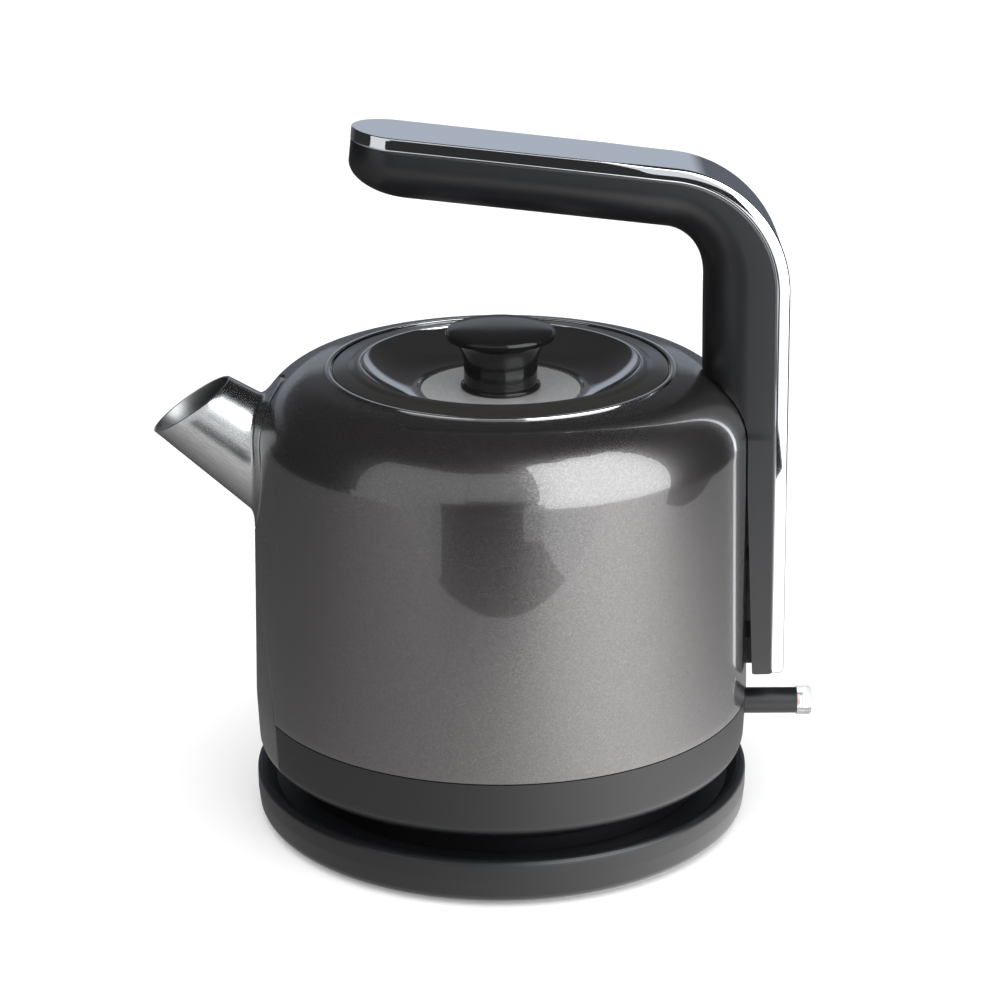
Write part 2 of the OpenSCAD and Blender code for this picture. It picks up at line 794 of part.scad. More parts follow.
module leg_clearance(less) {
    low_z = leg_low_z - 4;
    low_r = wall_r(low_z) + leg_gap_low - less;
    rotate_extrude() polygon(concat(
        [[0, seam_z - 20], [low_r, seam_z - 20], [low_r, low_z]],
        [[wall_r(gap_start_z) + leg_gap_top - less, gap_start_z]],
        arc(shoulder_c, shoulder_r + leg_gap_top - less, wall_lean, 90 - crown_slope, 16),
        [[0, shoulder_c[1] + shoulder_r]]
    ));
}

boss_zs = [gap_start_z - 7, leg_low_z + 31.5, leg_low_z + 6];
spacer_hs = [6, 11, 9];

module handle_screw_holes(r) {
    for (z = boss_zs) translate([body_r - 12, 0, z]) rotate([0, 90, 0]) cylinder(r = r, h = 16.5);
}

module trim_screw_holes(r, depth) {
    p = leg_point(leg_len - 14, trim_t - 1.6);
    translate([p[0], 0, p[1]]) rotate([0, 90 + leg_lean, 0]) mirror([0, 0, 1]) cylinder(r = r, h = depth);
}

module handle_body() {
    color(band_grey) difference() {
        tube_of(handle_sections);
        leg_clearance(0);
        handle_screw_holes(1.5);
    }
}

module handle_spacers() {
    color(rubber) difference() {
        intersection() {
            leg_clearance(0.02);
            for (i = [0:2]) translate([body_r - 10, -7, boss_zs[i] - spacer_hs[i] / 2])
                cube([20, 14, spacer_hs[i]]);
        }
        body_block(-0.02, seam_z - 5);
        handle_screw_holes(1.7);
    }
}

module handle_screws() {
    color(dull_steel) for (z = boss_zs) {
        head_x = wall_r(z) - shell_t - 1.6;
        translate([head_x, 0, z]) rotate([0, 90, 0]) cylinder(r = 2.8, h = 1.2);
        translate([head_x + 1, 0, z]) rotate([0, 90, 0]) cylinder(r = 1.48, h = body_r + 3.2 - head_x);
    }
}

// ---------- lid ----------

lid_edge_z = top_z + 0.1;
crest_z = top_z + 1.5;
dish_z = crest_z - dish_depth;
disc_t = 1;
disc_gap = 1;

module lid_rim() {
    color(band_grey) rotate_extrude() polygon(concat(
        [[dish_r + 0.6, crest_z - 1.4], [lid_r, lid_edge_z - 3]],
        [[lid_r, lid_edge_z - 0.6], [lid_r - 0.5, lid_edge_z]],
        [[dish_r + 3, crest_z - 0.25], [dish_r + 0.6, crest_z]]
    ));
}

// Mirror-bright dish: a quarter curve from the crest down to the flat floor round the disc
function dish_curve(drop) =
    [for (i = [0:12]) let (a = i * 7.5) [
        disc_r + 2.5 + (dish_r - disc_r - 2.5) * pow(1 - pow(sin(a), 1.6), 0.625) + drop * 0.25,
        crest_z - drop - dish_depth * pow(sin(a), 1.3)
    ]];

module lid_dish() {
    t = 0.8;
    hole = 3;
    step_r = disc_r + disc_gap;
    top = concat([[dish_r + 0.55, crest_z]], dish_curve(0), [[step_r, dish_z]]);
    under = concat(
        [[step_r, dish_z - 1.2], [hole, dish_z - 1.2], [hole, dish_z - 2], [step_r + 1, dish_z - 2]],
        flip(dish_curve(t)), [[dish_r + 0.55, crest_z - t - 0.4]]
    );
    color(bright) rotate_extrude() polygon(concat(top, under));
}

module lid_disc() {
    color(steel) ring(3, disc_r, dish_z - 1.2, dish_z - 1.2 + disc_t);
}

knob_z = dish_z - 1.2 + disc_t;

module lid_knob() {
    stem = knob_r * 0.67;
    top = knob_z + knob_h;
    flare = [for (i = [0:8]) let (t = i / 8) [
        stem + (knob_r - 0.3 - stem) * (1 - cos(t * 90)), knob_z + 6.4 + (knob_h - 9.6) * sin(t * 90)
    ]];
    profile = concat(
        [[0, knob_z], [stem + 0.3, knob_z]], arc([stem + 0.3, knob_z + 0.8], 0.8, -90, 90, 6),
        [[stem, knob_z + 1.7]], flare, arc([knob_r - 1.4, top - 2], 1.4, 0, 90, 6),
        [[knob_r - 5, top - 0.25], [0, top]]
    );
    color(gloss_black) difference() {
        rotate_extrude() polygon(profile);
        translate([0, 0, knob_z - 1]) cylinder(r = 1.5, h = 12);
    }
}

plug_low_z = ledge_z - 3;
plug_r = lid_r + lid_gap - ledge_w - 0.7;
plug_flange_r = lid_r - 0.3;
function rim_under(r) =
    let (r0 = dish_r + 0.6) crest_z - 1.4 - (r - r0) * (crest_z - lid_edge_z + 1.6) / (lid_r - r0);

module lid_plug() {
    t = 1.6;
    r1 = plug_r - 1;
    color(gloss_black) difference() {
        rotate_extrude() polygon([
            [0, plug_low_z], [plug_r, plug_low_z], [plug_r, ledge_z + fit_gap],
            [plug_flange_r, ledge_z + fit_gap], [plug_flange_r, ledge_z + 2.3],
            [r1, ledge_z + 2.3], [r1, rim_under(r1) - 0.02],
            [r1 - t, rim_under(r1 - t) - 0.02], [r1 - t, plug_low_z + t],
            [5, plug_low_z + t], [5, dish_z - 2.02], [0, dish_z - 2.02]
        ]);
        translate([0, 0, plug_low_z - 1]) cylinder(r = 1.9, h = 20);
    }
}

module lid_seal() {
    r0 = plug_r - 1;
    color(silicone) rotate_extrude() polygon([
        [r0, ledge_z + 2.35], [plug_flange_r, ledge_z + 2.35], [lid_r + lid_gap - fit_gap, ledge_z + 4.4],
        [lid_r + lid_gap - fit_gap, ledge_z + 5.4], [plug_flange_r - 1.2, ledge_z + 4.6], [r0, ledge_z + 4.8]
    ]);
}

module knob_screw() {
    color(dull_steel) {
        translate([0, 0, plug_low_z - 1.3]) cylinder(r = 3.2, h = 1.3);
        translate([0, 0, plug_low_z - 0.5]) cylinder(r = 1.48, h = knob_z - plug_low_z + 8);
    }
}

base_upper();
base_lower();
base_feet();
base_screws();
base_connector();
base_contacts();
cord_gland();
cord_clamp();
centre_pin();
outer_shell();
front_panel();
bottom_cover();
bottom_screws();
inner_pot();
neck_ring();
pot_floor();
heat_plate();
heating_element();
element_terminals();
control_unit();
control_studs();
dry_boil_discs();
earth_sleeve();
socket_ring_inner();
socket_ring_outer();
steam_tube();
steam_seal();
steam_switch();
steam_disc();
lever_pin();
lever_spring();
spout();
spout_strainer();
handle_body();
handle_trim();
handle_spacers();
handle_screws();
switch_lever();
lever_lens();
lever_lamp();
lid_rim();
lid_dish();
lid_disc();
lid_plug();
lid_seal();
lid_knob();
knob_screw();
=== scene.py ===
"""Cordless electric kettle on its power base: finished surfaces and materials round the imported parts."""
import json
import math

import bmesh
import bpy
from mathutils import Matrix, Vector


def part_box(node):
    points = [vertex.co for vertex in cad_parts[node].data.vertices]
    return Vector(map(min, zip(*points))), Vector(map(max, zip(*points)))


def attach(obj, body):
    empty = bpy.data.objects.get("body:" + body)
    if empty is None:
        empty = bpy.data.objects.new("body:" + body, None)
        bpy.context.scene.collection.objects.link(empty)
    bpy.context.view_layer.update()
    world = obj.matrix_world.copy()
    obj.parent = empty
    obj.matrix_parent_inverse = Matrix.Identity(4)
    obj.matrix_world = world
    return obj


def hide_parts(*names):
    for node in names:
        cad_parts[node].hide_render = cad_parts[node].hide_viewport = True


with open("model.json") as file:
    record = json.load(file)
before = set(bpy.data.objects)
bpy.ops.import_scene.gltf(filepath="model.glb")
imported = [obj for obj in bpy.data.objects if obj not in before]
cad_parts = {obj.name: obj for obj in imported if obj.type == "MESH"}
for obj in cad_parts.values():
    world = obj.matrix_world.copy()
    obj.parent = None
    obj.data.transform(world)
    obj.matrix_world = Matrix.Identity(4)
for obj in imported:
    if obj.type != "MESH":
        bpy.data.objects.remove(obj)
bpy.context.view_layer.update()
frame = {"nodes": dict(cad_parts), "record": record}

MM = 0.001
X, Y, Z = 0, 1, 2


def low(node, axis):
    """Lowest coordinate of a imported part, in millimetres."""
    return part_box(node)[0][axis] / MM


def high(node, axis):
    """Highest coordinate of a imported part, in millimetres."""
    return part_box(node)[1][axis] / MM


# ---------- helpers for materials ----------

# Sockets of a Mix node: the two things mixed, and what comes out
MIX_COLOUR = 6, 7, 2
MIX_VECTOR = 4, 5, 1


def add(tree, kind, **settings):
    """New node with its own settings and plain socket values, a socket's spaces written as underscores."""
    node = tree.nodes.new(kind)
    for key, value in settings.items():
        if key in node.bl_rna.properties:
            setattr(node, key, value)
        else:
            node.inputs[key.replace("_", " ")].default_value = value
    return node


def sum_up(tree, operation, a, b, c=None):
    """Math node on sockets or plain numbers; gives back its output."""
    node = add(tree, "ShaderNodeMath", operation=operation)
    for i, value in enumerate([a, b, c]):
        if isinstance(value, (int, float)):
            node.inputs[i].default_value = value
        elif value is not None:
            tree.links.new(value, node.inputs[i])
    return node.outputs[0]


def mixed(tree, sockets, share, first, second):
    """Mix node on sockets or plain values; gives back its output."""
    kind = "RGBA" if sockets == MIX_COLOUR else "VECTOR"
    node = add(tree, "ShaderNodeMix", data_type=kind)
    tree.links.new(share, node.inputs["Factor"])
    for i, value in zip(sockets, (first, second)):
        if isinstance(value, tuple):
            node.inputs[i].default_value = value
        else:
            tree.links.new(value, node.inputs[i])
    return node.outputs[sockets[2]]


def parts_of(tree, place):
    """The x, y and z of a place."""
    split = add(tree, "ShaderNodeSeparateXYZ")
    tree.links.new(place, split.inputs[0])
    return [split.outputs[i] for i in range(3)]


def object_place(tree):
    """Place on the piece, in metres, that stays with it as it moves."""
    return add(tree, "ShaderNodeTexCoord").outputs["Object"]


def ramped(tree, value, colours, interpolation="LINEAR"):
    """Colour ramp on a value, with its stops as (position, colour) from the lowest position up."""
    ramp = add(tree, "ShaderNodeValToRGB")
    ramp.color_ramp.interpolation = interpolation
    stops = ramp.color_ramp.elements
    while len(stops) < len(colours):
        stops.new(0.5)
    for stop, (position, colour) in zip(stops, colours):
        stop.position, stop.color = position, (*colour, 1)
    tree.links.new(value, ramp.inputs[0])
    return ramp.outputs["Color"]


def blank(name):
    """New material; gives back the material, its node tree and its shader."""
    material = bpy.data.materials.new(name)
    material.use_nodes = True
    return material, material.node_tree, material.node_tree.nodes["Principled BSDF"]


# ---------- camera, floor and light ----------

def aim(thing, place, target):
    """Puts a lamp at a place and points it at a target, both in metres."""
    thing.location = place
    thing.rotation_euler = (Vector(target) - Vector(place)).to_track_quat("-Z", "Y").to_euler()


def set_camera():
    """A long lens in front of the kettle, looking a little down on it."""
    distance, height, sideways = 0.870, 0.4154, -0.0003
    pitch, roll = math.radians(19.73), math.radians(-0.155)
    camera = bpy.data.objects.new("camera", bpy.data.cameras.new("camera"))
    camera.data.sensor_width = 36
    camera.data.lens = 104.8
    camera.data.clip_start = 0.05
    turn = Matrix.Rotation(math.pi / 2 - pitch, 4, "X") @ Matrix.Rotation(roll, 4, "Z")
    camera.matrix_world = Matrix.Translation((sideways, -distance, height)) @ turn
    bpy.context.scene.collection.objects.link(camera)
    bpy.context.scene.camera = camera


def softbox(name, width, height, place, target, watts):
    """Lamp that only softens the shading of matt pieces."""
    lamp = bpy.data.lights.new(name, "AREA")
    lamp.shape = "RECTANGLE"
    lamp.size, lamp.size_y = width, height
    lamp.energy = watts
    thing = bpy.data.objects.new(name, lamp)
    bpy.context.scene.collection.objects.link(thing)
    aim(thing, place, target)
    thing.visible_camera = False
    thing.visible_glossy = False
    lamp.use_shadow = False


# Bright things that the polished pieces mirror. The upright cards stand this far from the kettle's axis.
CARDS_AWAY = 0.9
CARD_TINT = (0.95, 0.98, 1.0)
CARDS = {  # strength, bearing in degrees, half width, foot and top
    "window_right": (4.9, 47.3, 0.555, -0.07, 1.70),
    "window_middle": (0.8, 1, 0.25, 0.16, 1.10),
    "window_left": (0.8, -40, 0.42, 0.07, 1.05),
    "sill": (1.3, 14, 0.07, -0.155, 0.06),
    "wall_left": (0.8, -47, 0.35, -0.20, 0.068),
    "wall_right": (1.9, 47.3, 0.555, -0.20, -0.072),
}
# Brightness of the table top by bearing in degrees
TABLE_SHINE = (
    (-180, 0.05), (-150, 0.05), (-115, 0.14), (-80, 0.30), (-53, 0.54), (-28, 0.72), (-5, 1.0),
    (19, 1.8), (44, 2.6), (66, 2.1), (90, 0.9), (110, 0.5), (145, 0.12), (180, 0.05))


def card(name, corners, material, seen_by):
    """Flat card through four corners. Only the named kinds of ray see it."""
    mesh = bpy.data.meshes.new(name)
    mesh.from_pydata(corners, [], [(0, 1, 2, 3)])
    mesh.materials.append(material)
    thing = bpy.data.objects.new(name, mesh)
    bpy.context.scene.collection.objects.link(thing)
    for kind in ("camera", "diffuse", "glossy", "transmission", "shadow", "volume_scatter"):
        setattr(thing, "visible_" + kind, kind in seen_by)


def level_corners(x0, x1, y0, y1, z):
    """Corners of a card that lies flat."""
    return [(x0, y0, z), (x1, y0, z), (x1, y1, z), (x0, y1, z)]


def upright_corners(bearing, half, z0, z1):
    """Corners of an upright card that faces the kettle, its bearing in degrees from straight ahead."""
    a = math.radians(bearing)
    middle = Vector((math.sin(a), -math.cos(a), 0)) * CARDS_AWAY
    along = Vector((math.cos(a), math.sin(a), 0)) * half
    foot, top = Vector((0, 0, z0)), Vector((0, 0, z1))
    return [middle - along + foot, middle + along + foot, middle + along + top, middle - along + top]


def glowing(name, strength, tint=(1, 1, 1)):
    """Material that glows evenly; it is found by reflections alone."""
    material, tree, shader = blank(name)
    material.cycles.emission_sampling = "NONE"
    tree.nodes.remove(shader)
    glow = add(tree, "ShaderNodeEmission", Strength=strength, Color=(*tint, 1))
    tree.links.new(glow.outputs[0], tree.nodes["Material Output"].inputs["Surface"])
    return material, glow


def shaded_table():
    """Table top as reflections see it: bright on the window's side, darker round to the back."""
    brightest = max(level for _, level in TABLE_SHINE)
    material, glow = glowing("table_shine", brightest)
    tree = material.node_tree
    x, y, _ = parts_of(tree, object_place(tree))
    bearing = sum_up(tree, "ARCTAN2", x, sum_up(tree, "MULTIPLY", y, -1))
    round_share = add(tree, "ShaderNodeMapRange", From_Min=-math.pi, From_Max=math.pi)
    tree.links.new(bearing, round_share.inputs["Value"])
    shine = [((angle + 180) / 360, [level / brightest] * 3) for angle, level in TABLE_SHINE]
    tree.links.new(ramped(tree, round_share.outputs["Result"], shine, "B_SPLINE"), glow.inputs["Color"])
    return material


def plain(name, colour, roughness):
    """Even matt material."""
    material, _, shader = blank(name)
    shader.inputs["Base Color"].default_value = (*colour, 1)
    shader.inputs["Roughness"].default_value = roughness
    return material


# Light from behind the kettle by height, from straight out to straight up
BACK_STRIP = (
    (0.13, (0.12, 0.13, 0.15)), (0.17, (0.44, 0.48, 0.55)), (0.26, (0.44, 0.48, 0.55)),
    (0.31, (0.06, 0.06, 0.065)), (0.8, (0.012, 0.012, 0.012)))
DARK_ROOM = (0.03, 0.03, 0.03, 1)
WHITE = (1, 1, 1, 1)


def set_world():
    """Dark room with a pale strip low down behind the kettle. The camera itself would see white."""
    world = bpy.data.worlds.new("room")
    bpy.context.scene.world = world
    world.use_nodes = True
    tree = world.node_tree
    _, y, z = parts_of(tree, add(tree, "ShaderNodeTexCoord").outputs["Generated"])
    behind = add(tree, "ShaderNodeMapRange", From_Min=0.55, From_Max=0.9)
    tree.links.new(y, behind.inputs["Value"])
    room = mixed(tree, MIX_COLOUR, behind.outputs["Result"], DARK_ROOM, ramped(tree, z, BACK_STRIP))
    from_camera = add(tree, "ShaderNodeLightPath").outputs["Is Camera Ray"]
    light = mixed(tree, MIX_COLOUR, from_camera, room, WHITE)
    tree.links.new(light, tree.nodes["Background"].inputs["Color"])


def set_room():
    """Pale floor, the mirrored cards, and even light from above."""
    floor_half = 20
    floor = level_corners(-floor_half, floor_half, -floor_half, floor_half, 0)
    everything_but_shine = ("camera", "diffuse", "transmission", "shadow")
    card("floor", floor, plain("floor", (0.93, 0.93, 0.93), 0.9), everything_but_shine)
    card("table", level_corners(-0.6, 0.42, -0.340, 0.6, 0.0003), shaded_table(), ("glossy",))
    for name, (strength, bearing, half, foot, top) in CARDS.items():
        corners = upright_corners(bearing, half, foot, top)
        card(name, corners, glowing(name, strength, CARD_TINT)[0], ("glossy",))
    set_world()

    above = bpy.data.lights.new("above", "SUN")
    above.energy = 4.0
    above.angle = math.radians(100)
    thing = bpy.data.objects.new("above", above)
    bpy.context.scene.collection.objects.link(thing)
    aim(thing, (0.1, -0.3, 1), (0, 0, 0))
    thing.visible_glossy = False
    softbox("soft_right", 0.9, 1.0, (0.6, -0.47, 0.6), (0, 0, 0.12), 5)
    bpy.context.scene.view_settings.view_transform = "Standard"


# ---------- shared effects for the finishes ----------

def new_effect(name, inputs, outputs):
    """Empty node group with named inputs (name, default) and outputs (name, socket kind)."""
    tree = bpy.data.node_groups.new(name, "ShaderNodeTree")
    for label, default in inputs:
        kind = "NodeSocketFloat" if isinstance(default, (int, float)) else "NodeSocketColor"
        socket = tree.interface.new_socket(label, in_out="INPUT", socket_type=kind)
        socket.default_value = default if isinstance(default, (int, float)) else (*default, 1)
    for label, kind in outputs:
        tree.interface.new_socket(label, in_out="OUTPUT", socket_type=kind)
    return tree, tree.nodes.new("NodeGroupInput"), tree.nodes.new("NodeGroupOutput")


def make_moulded_grain():
    """Fine sand-like texture of a moulded plastic face."""
    tree, given, out = new_effect("moulded_grain", [("Scale", 900.0)], [("Height", "NodeSocketFloat")])
    where = object_place(tree)
    fine = add(tree, "ShaderNodeTexNoise", Detail=3.0, Roughness=0.6)
    cells = add(tree, "ShaderNodeTexVoronoi")
    for node in (fine, cells):
        tree.links.new(where, node.inputs["Vector"])
        tree.links.new(given.outputs["Scale"], node.inputs["Scale"])
    height = sum_up(tree, "MULTIPLY_ADD", cells.outputs["Distance"], 0.5, fine.outputs[0])
    tree.links.new(height, out.inputs["Height"])
    return tree


def make_hand_marks():
    """Soft patches of more and less polish, as handling leaves them."""
    tree, given, out = new_effect(
        "hand_marks", [("Roughness", 0.3), ("Spread", 0.08), ("Scale", 22.0)],
        [("Roughness", "NodeSocketFloat")])
    where = object_place(tree)
    broad = add(tree, "ShaderNodeTexNoise", Detail=4.0, Roughness=0.62, Distortion=0.4)
    tree.links.new(where, broad.inputs["Vector"])
    tree.links.new(given.outputs["Scale"], broad.inputs["Scale"])
    swing = sum_up(tree, "SUBTRACT", broad.outputs[0], 0.5)
    swing = sum_up(tree, "MULTIPLY", swing, given.outputs["Spread"])
    total = add(tree, "ShaderNodeMath", operation="ADD", use_clamp=True)
    tree.links.new(swing, total.inputs[0])
    tree.links.new(given.outputs["Roughness"], total.inputs[1])
    tree.links.new(total.outputs[0], out.inputs["Roughness"])
    return tree


def make_pearl_flakes():
    """Tiny flakes under the clear coat: each one a little lighter or darker, and tilted its own way."""
    tree, given, out = new_effect(
        "pearl_flakes",
        [("Colour", (0.2, 0.2, 0.2)), ("Light", (0.4, 0.4, 0.4)), ("Scale", 3800.0), ("Tilt", 0.035)],
        [("Colour", "NodeSocketColor"), ("Normal", "NodeSocketVector")])
    cells = add(tree, "ShaderNodeTexVoronoi")
    tree.links.new(object_place(tree), cells.inputs["Vector"])
    tree.links.new(given.outputs["Scale"], cells.inputs["Scale"])
    chance = add(tree, "ShaderNodeSeparateColor")
    tree.links.new(cells.outputs["Color"], chance.inputs[0])
    bright = sum_up(tree, "POWER", chance.outputs[0], 2.2)
    colour = mixed(tree, MIX_COLOUR, bright, given.outputs["Colour"], given.outputs["Light"])
    tree.links.new(colour, out.inputs["Colour"])
    lean = add(tree, "ShaderNodeVectorMath", operation="SUBTRACT")
    lean.inputs[1].default_value = (0.5, 0.5, 0.5)
    tree.links.new(cells.outputs["Color"], lean.inputs[0])
    scaled = add(tree, "ShaderNodeVectorMath", operation="SCALE")
    tree.links.new(lean.outputs[0], scaled.inputs[0])
    tree.links.new(given.outputs["Tilt"], scaled.inputs["Scale"])
    tilted = add(tree, "ShaderNodeVectorMath", operation="ADD")
    tree.links.new(add(tree, "ShaderNodeNewGeometry").outputs["Normal"], tilted.inputs[0])
    tree.links.new(scaled.outputs[0], tilted.inputs[1])
    unit = add(tree, "ShaderNodeVectorMath", operation="NORMALIZE")
    tree.links.new(tilted.outputs[0], unit.inputs[0])
    tree.links.new(unit.outputs[0], out.inputs["Normal"])
    return tree


def make_brush_lines():
    """Fine parallel scratches: rings round the axis on turned pieces, lines along the others."""
    tree, given, out = new_effect(
        "brush_lines", [("Rings", 0.0), ("Density", 1500.0), ("Length", 60.0), ("Lean", 0.0)],
        [("Height", "NodeSocketFloat"), ("Streak", "NodeSocketFloat")])
    x, y, z = parts_of(tree, object_place(tree))
    radius = sum_up(tree, "SQRT", sum_up(tree, "MULTIPLY_ADD", x, x, sum_up(tree, "MULTIPLY", y, y)), 0)
    turn = sum_up(tree, "ARCTAN2", y, x)
    # Lines along a slope in the x-z plane: one coordinate across, one along
    c = sum_up(tree, "COSINE", given.outputs["Lean"], 0)
    s = sum_up(tree, "SINE", given.outputs["Lean"], 0)
    along = sum_up(tree, "MULTIPLY_ADD", x, c, sum_up(tree, "MULTIPLY", z, s))
    up = sum_up(tree, "MULTIPLY_ADD", z, c, sum_up(tree, "MULTIPLY", sum_up(tree, "MULTIPLY", x, s), -1))
    ring_place = add(tree, "ShaderNodeCombineXYZ")
    tree.links.new(sum_up(tree, "MULTIPLY", radius, given.outputs["Density"]), ring_place.inputs[0])
    tree.links.new(sum_up(tree, "MULTIPLY", turn, 3.0), ring_place.inputs[1])
    line_place = add(tree, "ShaderNodeCombineXYZ")
    tree.links.new(sum_up(tree, "MULTIPLY", y, given.outputs["Density"]), line_place.inputs[0])
    tree.links.new(sum_up(tree, "MULTIPLY", along, given.outputs["Length"]), line_place.inputs[1])
    tree.links.new(sum_up(tree, "MULTIPLY", up, given.outputs["Density"]), line_place.inputs[2])
    place = mixed(tree, MIX_VECTOR, given.outputs["Rings"], line_place.outputs[0], ring_place.outputs[0])
    noise = add(tree, "ShaderNodeTexNoise", Scale=1.0, Detail=4.0, Roughness=0.7)
    tree.links.new(place, noise.inputs["Vector"])
    tree.links.new(noise.outputs[0], out.inputs["Height"])
    tree.links.new(noise.outputs[0], out.inputs["Streak"])
    return tree


moulded_grain = make_moulded_grain()
hand_marks = make_hand_marks()
pearl_flakes = make_pearl_flakes()
brush_lines = make_brush_lines()

GRAIN_DEPTH = 0.0001
BRUSH_DEPTH = 0.00002


class Finish:
    """One material: its shader, and the effects that feed it."""

    def __init__(self, name, colour, roughness, metal=0.0, **constants):
        self.material, self.tree, self.shader = blank(name)
        self.roughness = roughness
        self.set("Base Color", (*colour, 1))
        self.set("Roughness", roughness)
        self.set("Metallic", metal)
        for label, value in constants.items():
            self.set(label.replace("_", " "), value)

    def set(self, label, value):
        self.shader.inputs[label].default_value = value

    def effect(self, group, **values):
        node = add(self.tree, "ShaderNodeGroup", node_tree=group)
        for label, value in values.items():
            node.inputs[label].default_value = value
        return node

    def feed(self, output, label):
        self.tree.links.new(output, self.shader.inputs[label])

    def marked(self, spread, scale=22.0):
        """Roughness that varies in soft patches."""
        node = self.effect(hand_marks, Roughness=self.roughness, Spread=spread, Scale=scale)
        self.feed(node.outputs[0], "Roughness")
        return self

    def bumped(self, height, strength, distance):
        """Relief from a height."""
        bump = add(self.tree, "ShaderNodeBump", Strength=strength, Distance=distance)
        self.tree.links.new(height, bump.inputs["Height"])
        self.feed(bump.outputs[0], "Normal")
        return self

    def grained(self, scale, strength):
        """Moulded grain as relief."""
        return self.bumped(self.effect(moulded_grain, Scale=scale).outputs[0], strength, GRAIN_DEPTH)

    def brushed(self, strength, dark, light, rings=0.0, density=1500.0, length=60.0, lean=0.0):
        """Brushed metal: streaks between two colours, and the same lines as relief."""
        node = self.effect(brush_lines, Rings=rings, Density=density, Length=length, Lean=lean)
        self.feed(ramped(self.tree, node.outputs["Streak"], ((0.3, dark), (0.7, light))), "Base Color")
        return self.bumped(node.outputs["Height"], strength, BRUSH_DEPTH)


def grey(value, warm=0.0):
    """Grey of a given lightness, a little warmer if asked."""
    return (value * (1 + warm), value, value * (1 - warm))


def make_pearl_paint():
    """Grey pearl paint with fine flakes under a clear coat."""
    paint = Finish(
        "pearl_paint", grey(0.12), 0.27, 0.9, Coat_Weight=1.0, Coat_Roughness=0.025, Coat_IOR=1.55)
    flakes = paint.effect(pearl_flakes)
    flakes.inputs["Colour"].default_value = (0.105, 0.099, 0.098, 1)
    flakes.inputs["Light"].default_value = (0.15, 0.141, 0.139, 1)
    paint.feed(flakes.outputs["Colour"], "Base Color")
    paint.feed(flakes.outputs["Normal"], "Normal")
    return paint.marked(0.05, 14.0)


SPOUT_TILT = math.radians(35)

finishes = {
    "shell_paint": make_pearl_paint(),
    "band_plastic": Finish(
        "satin_plastic", (0.0075, 0.0077, 0.0088), 0.34).marked(0.10).grained(1400.0, 0.12),
    "tray_plastic": Finish(
        "tray_plastic", (0.0065, 0.0067, 0.0077), 0.34).marked(0.10).grained(1400.0, 0.12),
    "black_gloss": Finish("gloss_black", grey(0.01), 0.11, Specular_IOR_Level=0.3).marked(0.05, 40.0),
    "foot_rubber": Finish("rubber", grey(0.018), 0.72).marked(0.15).grained(2200.0, 0.3),
    "zinc_steel": Finish("zinc_steel", grey(0.55), 0.35, 1.0).marked(0.2, 120.0),
    "brass": Finish("brass", (0.78, 0.56, 0.25), 0.3, 1.0).marked(0.2, 90.0),
    "white_plastic": Finish("white_plastic", (0.78, 0.77, 0.72), 0.45).marked(0.1).grained(1500.0, 0.15),
    "pot_steel": Finish("pot_steel", grey(0.55), 0.32, 1.0).marked(0.08).brushed(
        0.25, grey(0.5), grey(0.64), rings=1.0, density=2500.0),
    "bright_steel": Finish("neck_steel", grey(0.72), 0.08, 1.0).marked(0.05, 60.0),
    "cast_aluminium": Finish("cast_aluminium", grey(0.5), 0.5, 1.0).marked(0.2, 60.0).grained(500.0, 0.4),
    "element_steel": Finish("element_steel", grey(0.3, 0.03), 0.42, 1.0).marked(0.2, 60.0),
    "silicone": Finish(
        "silicone", (0.72, 0.72, 0.69), 0.5, Subsurface_Weight=0.2).marked(0.1).grained(1800.0, 0.1),
    "spout_steel": Finish("spout_steel", grey(0.6), 0.23, 1.0).marked(0.08, 60.0).brushed(
        0.30, grey(0.54), grey(0.68), density=2200.0, length=45.0, lean=-SPOUT_TILT),
    "spout_inside": Finish("spout_inside", grey(0.42), 0.42, 1.0).marked(0.1, 60.0).brushed(
        0.35, grey(0.36), grey(0.46), density=1800.0, length=60.0, lean=-SPOUT_TILT),
    "trim_chrome": Finish("handle_chrome", (0.84, 0.855, 0.89), 0.035, 1.0).marked(0.03, 40.0),
    "clear_lens": Finish(
        "clear_lens", (0.93, 0.95, 0.95), 0.08, Transmission_Weight=0.85, IOR=1.49).marked(0.04, 80.0),
    "lamp_glass": Finish(
        "lamp_glass", (0.9, 0.55, 0.4), 0.1, Transmission_Weight=0.6, IOR=1.5).marked(0.04, 80.0),
    "rim_metal": Finish(
        "lid_rim_paint", (0.035, 0.034, 0.031), 0.3, 0.4, Coat_Weight=0.5, Coat_Roughness=0.12).marked(0.06),
    "lid_chrome": Finish("lid_chrome", grey(0.62), 0.06, 0.99).marked(0.04, 40.0),
    "brushed_disc": Finish("turned_disc", grey(0.5), 0.3, 0.55).marked(0.05).brushed(
        0.5, grey(0.44), grey(0.62), rings=1.0, density=2600.0),
}


# ---------- making pieces ----------

def piece(name, points, faces, body, slot, replaced, crease=32, materials=None):
    """Mesh object from points in millimetres, smooth but for edges over the crease angle."""
    mesh = bpy.data.meshes.new(name)
    mesh.from_pydata([Vector(p) * MM for p in points], [], faces)
    mesh.validate()
    for polygon in mesh.polygons:
        polygon.use_smooth = True
    mesh.set_sharp_from_angle(angle=math.radians(crease))
    for key in materials or [slot]:
        mesh.materials.append(finishes[key].material)
    thing = bpy.data.objects.new(name, mesh)
    bpy.context.scene.collection.objects.link(thing)
    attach(thing, body)
    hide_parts(*replaced)
    return thing


def skin_faces(rows, columns, closed):
    """Quads of a grid of points that is stored row by row."""
    last = columns if closed else columns - 1
    return [
        (i * columns + j, i * columns + (j + 1) % columns,
         (i + 1) * columns + (j + 1) % columns, (i + 1) * columns + j)
        for i in range(rows - 1) for j in range(last)
    ]


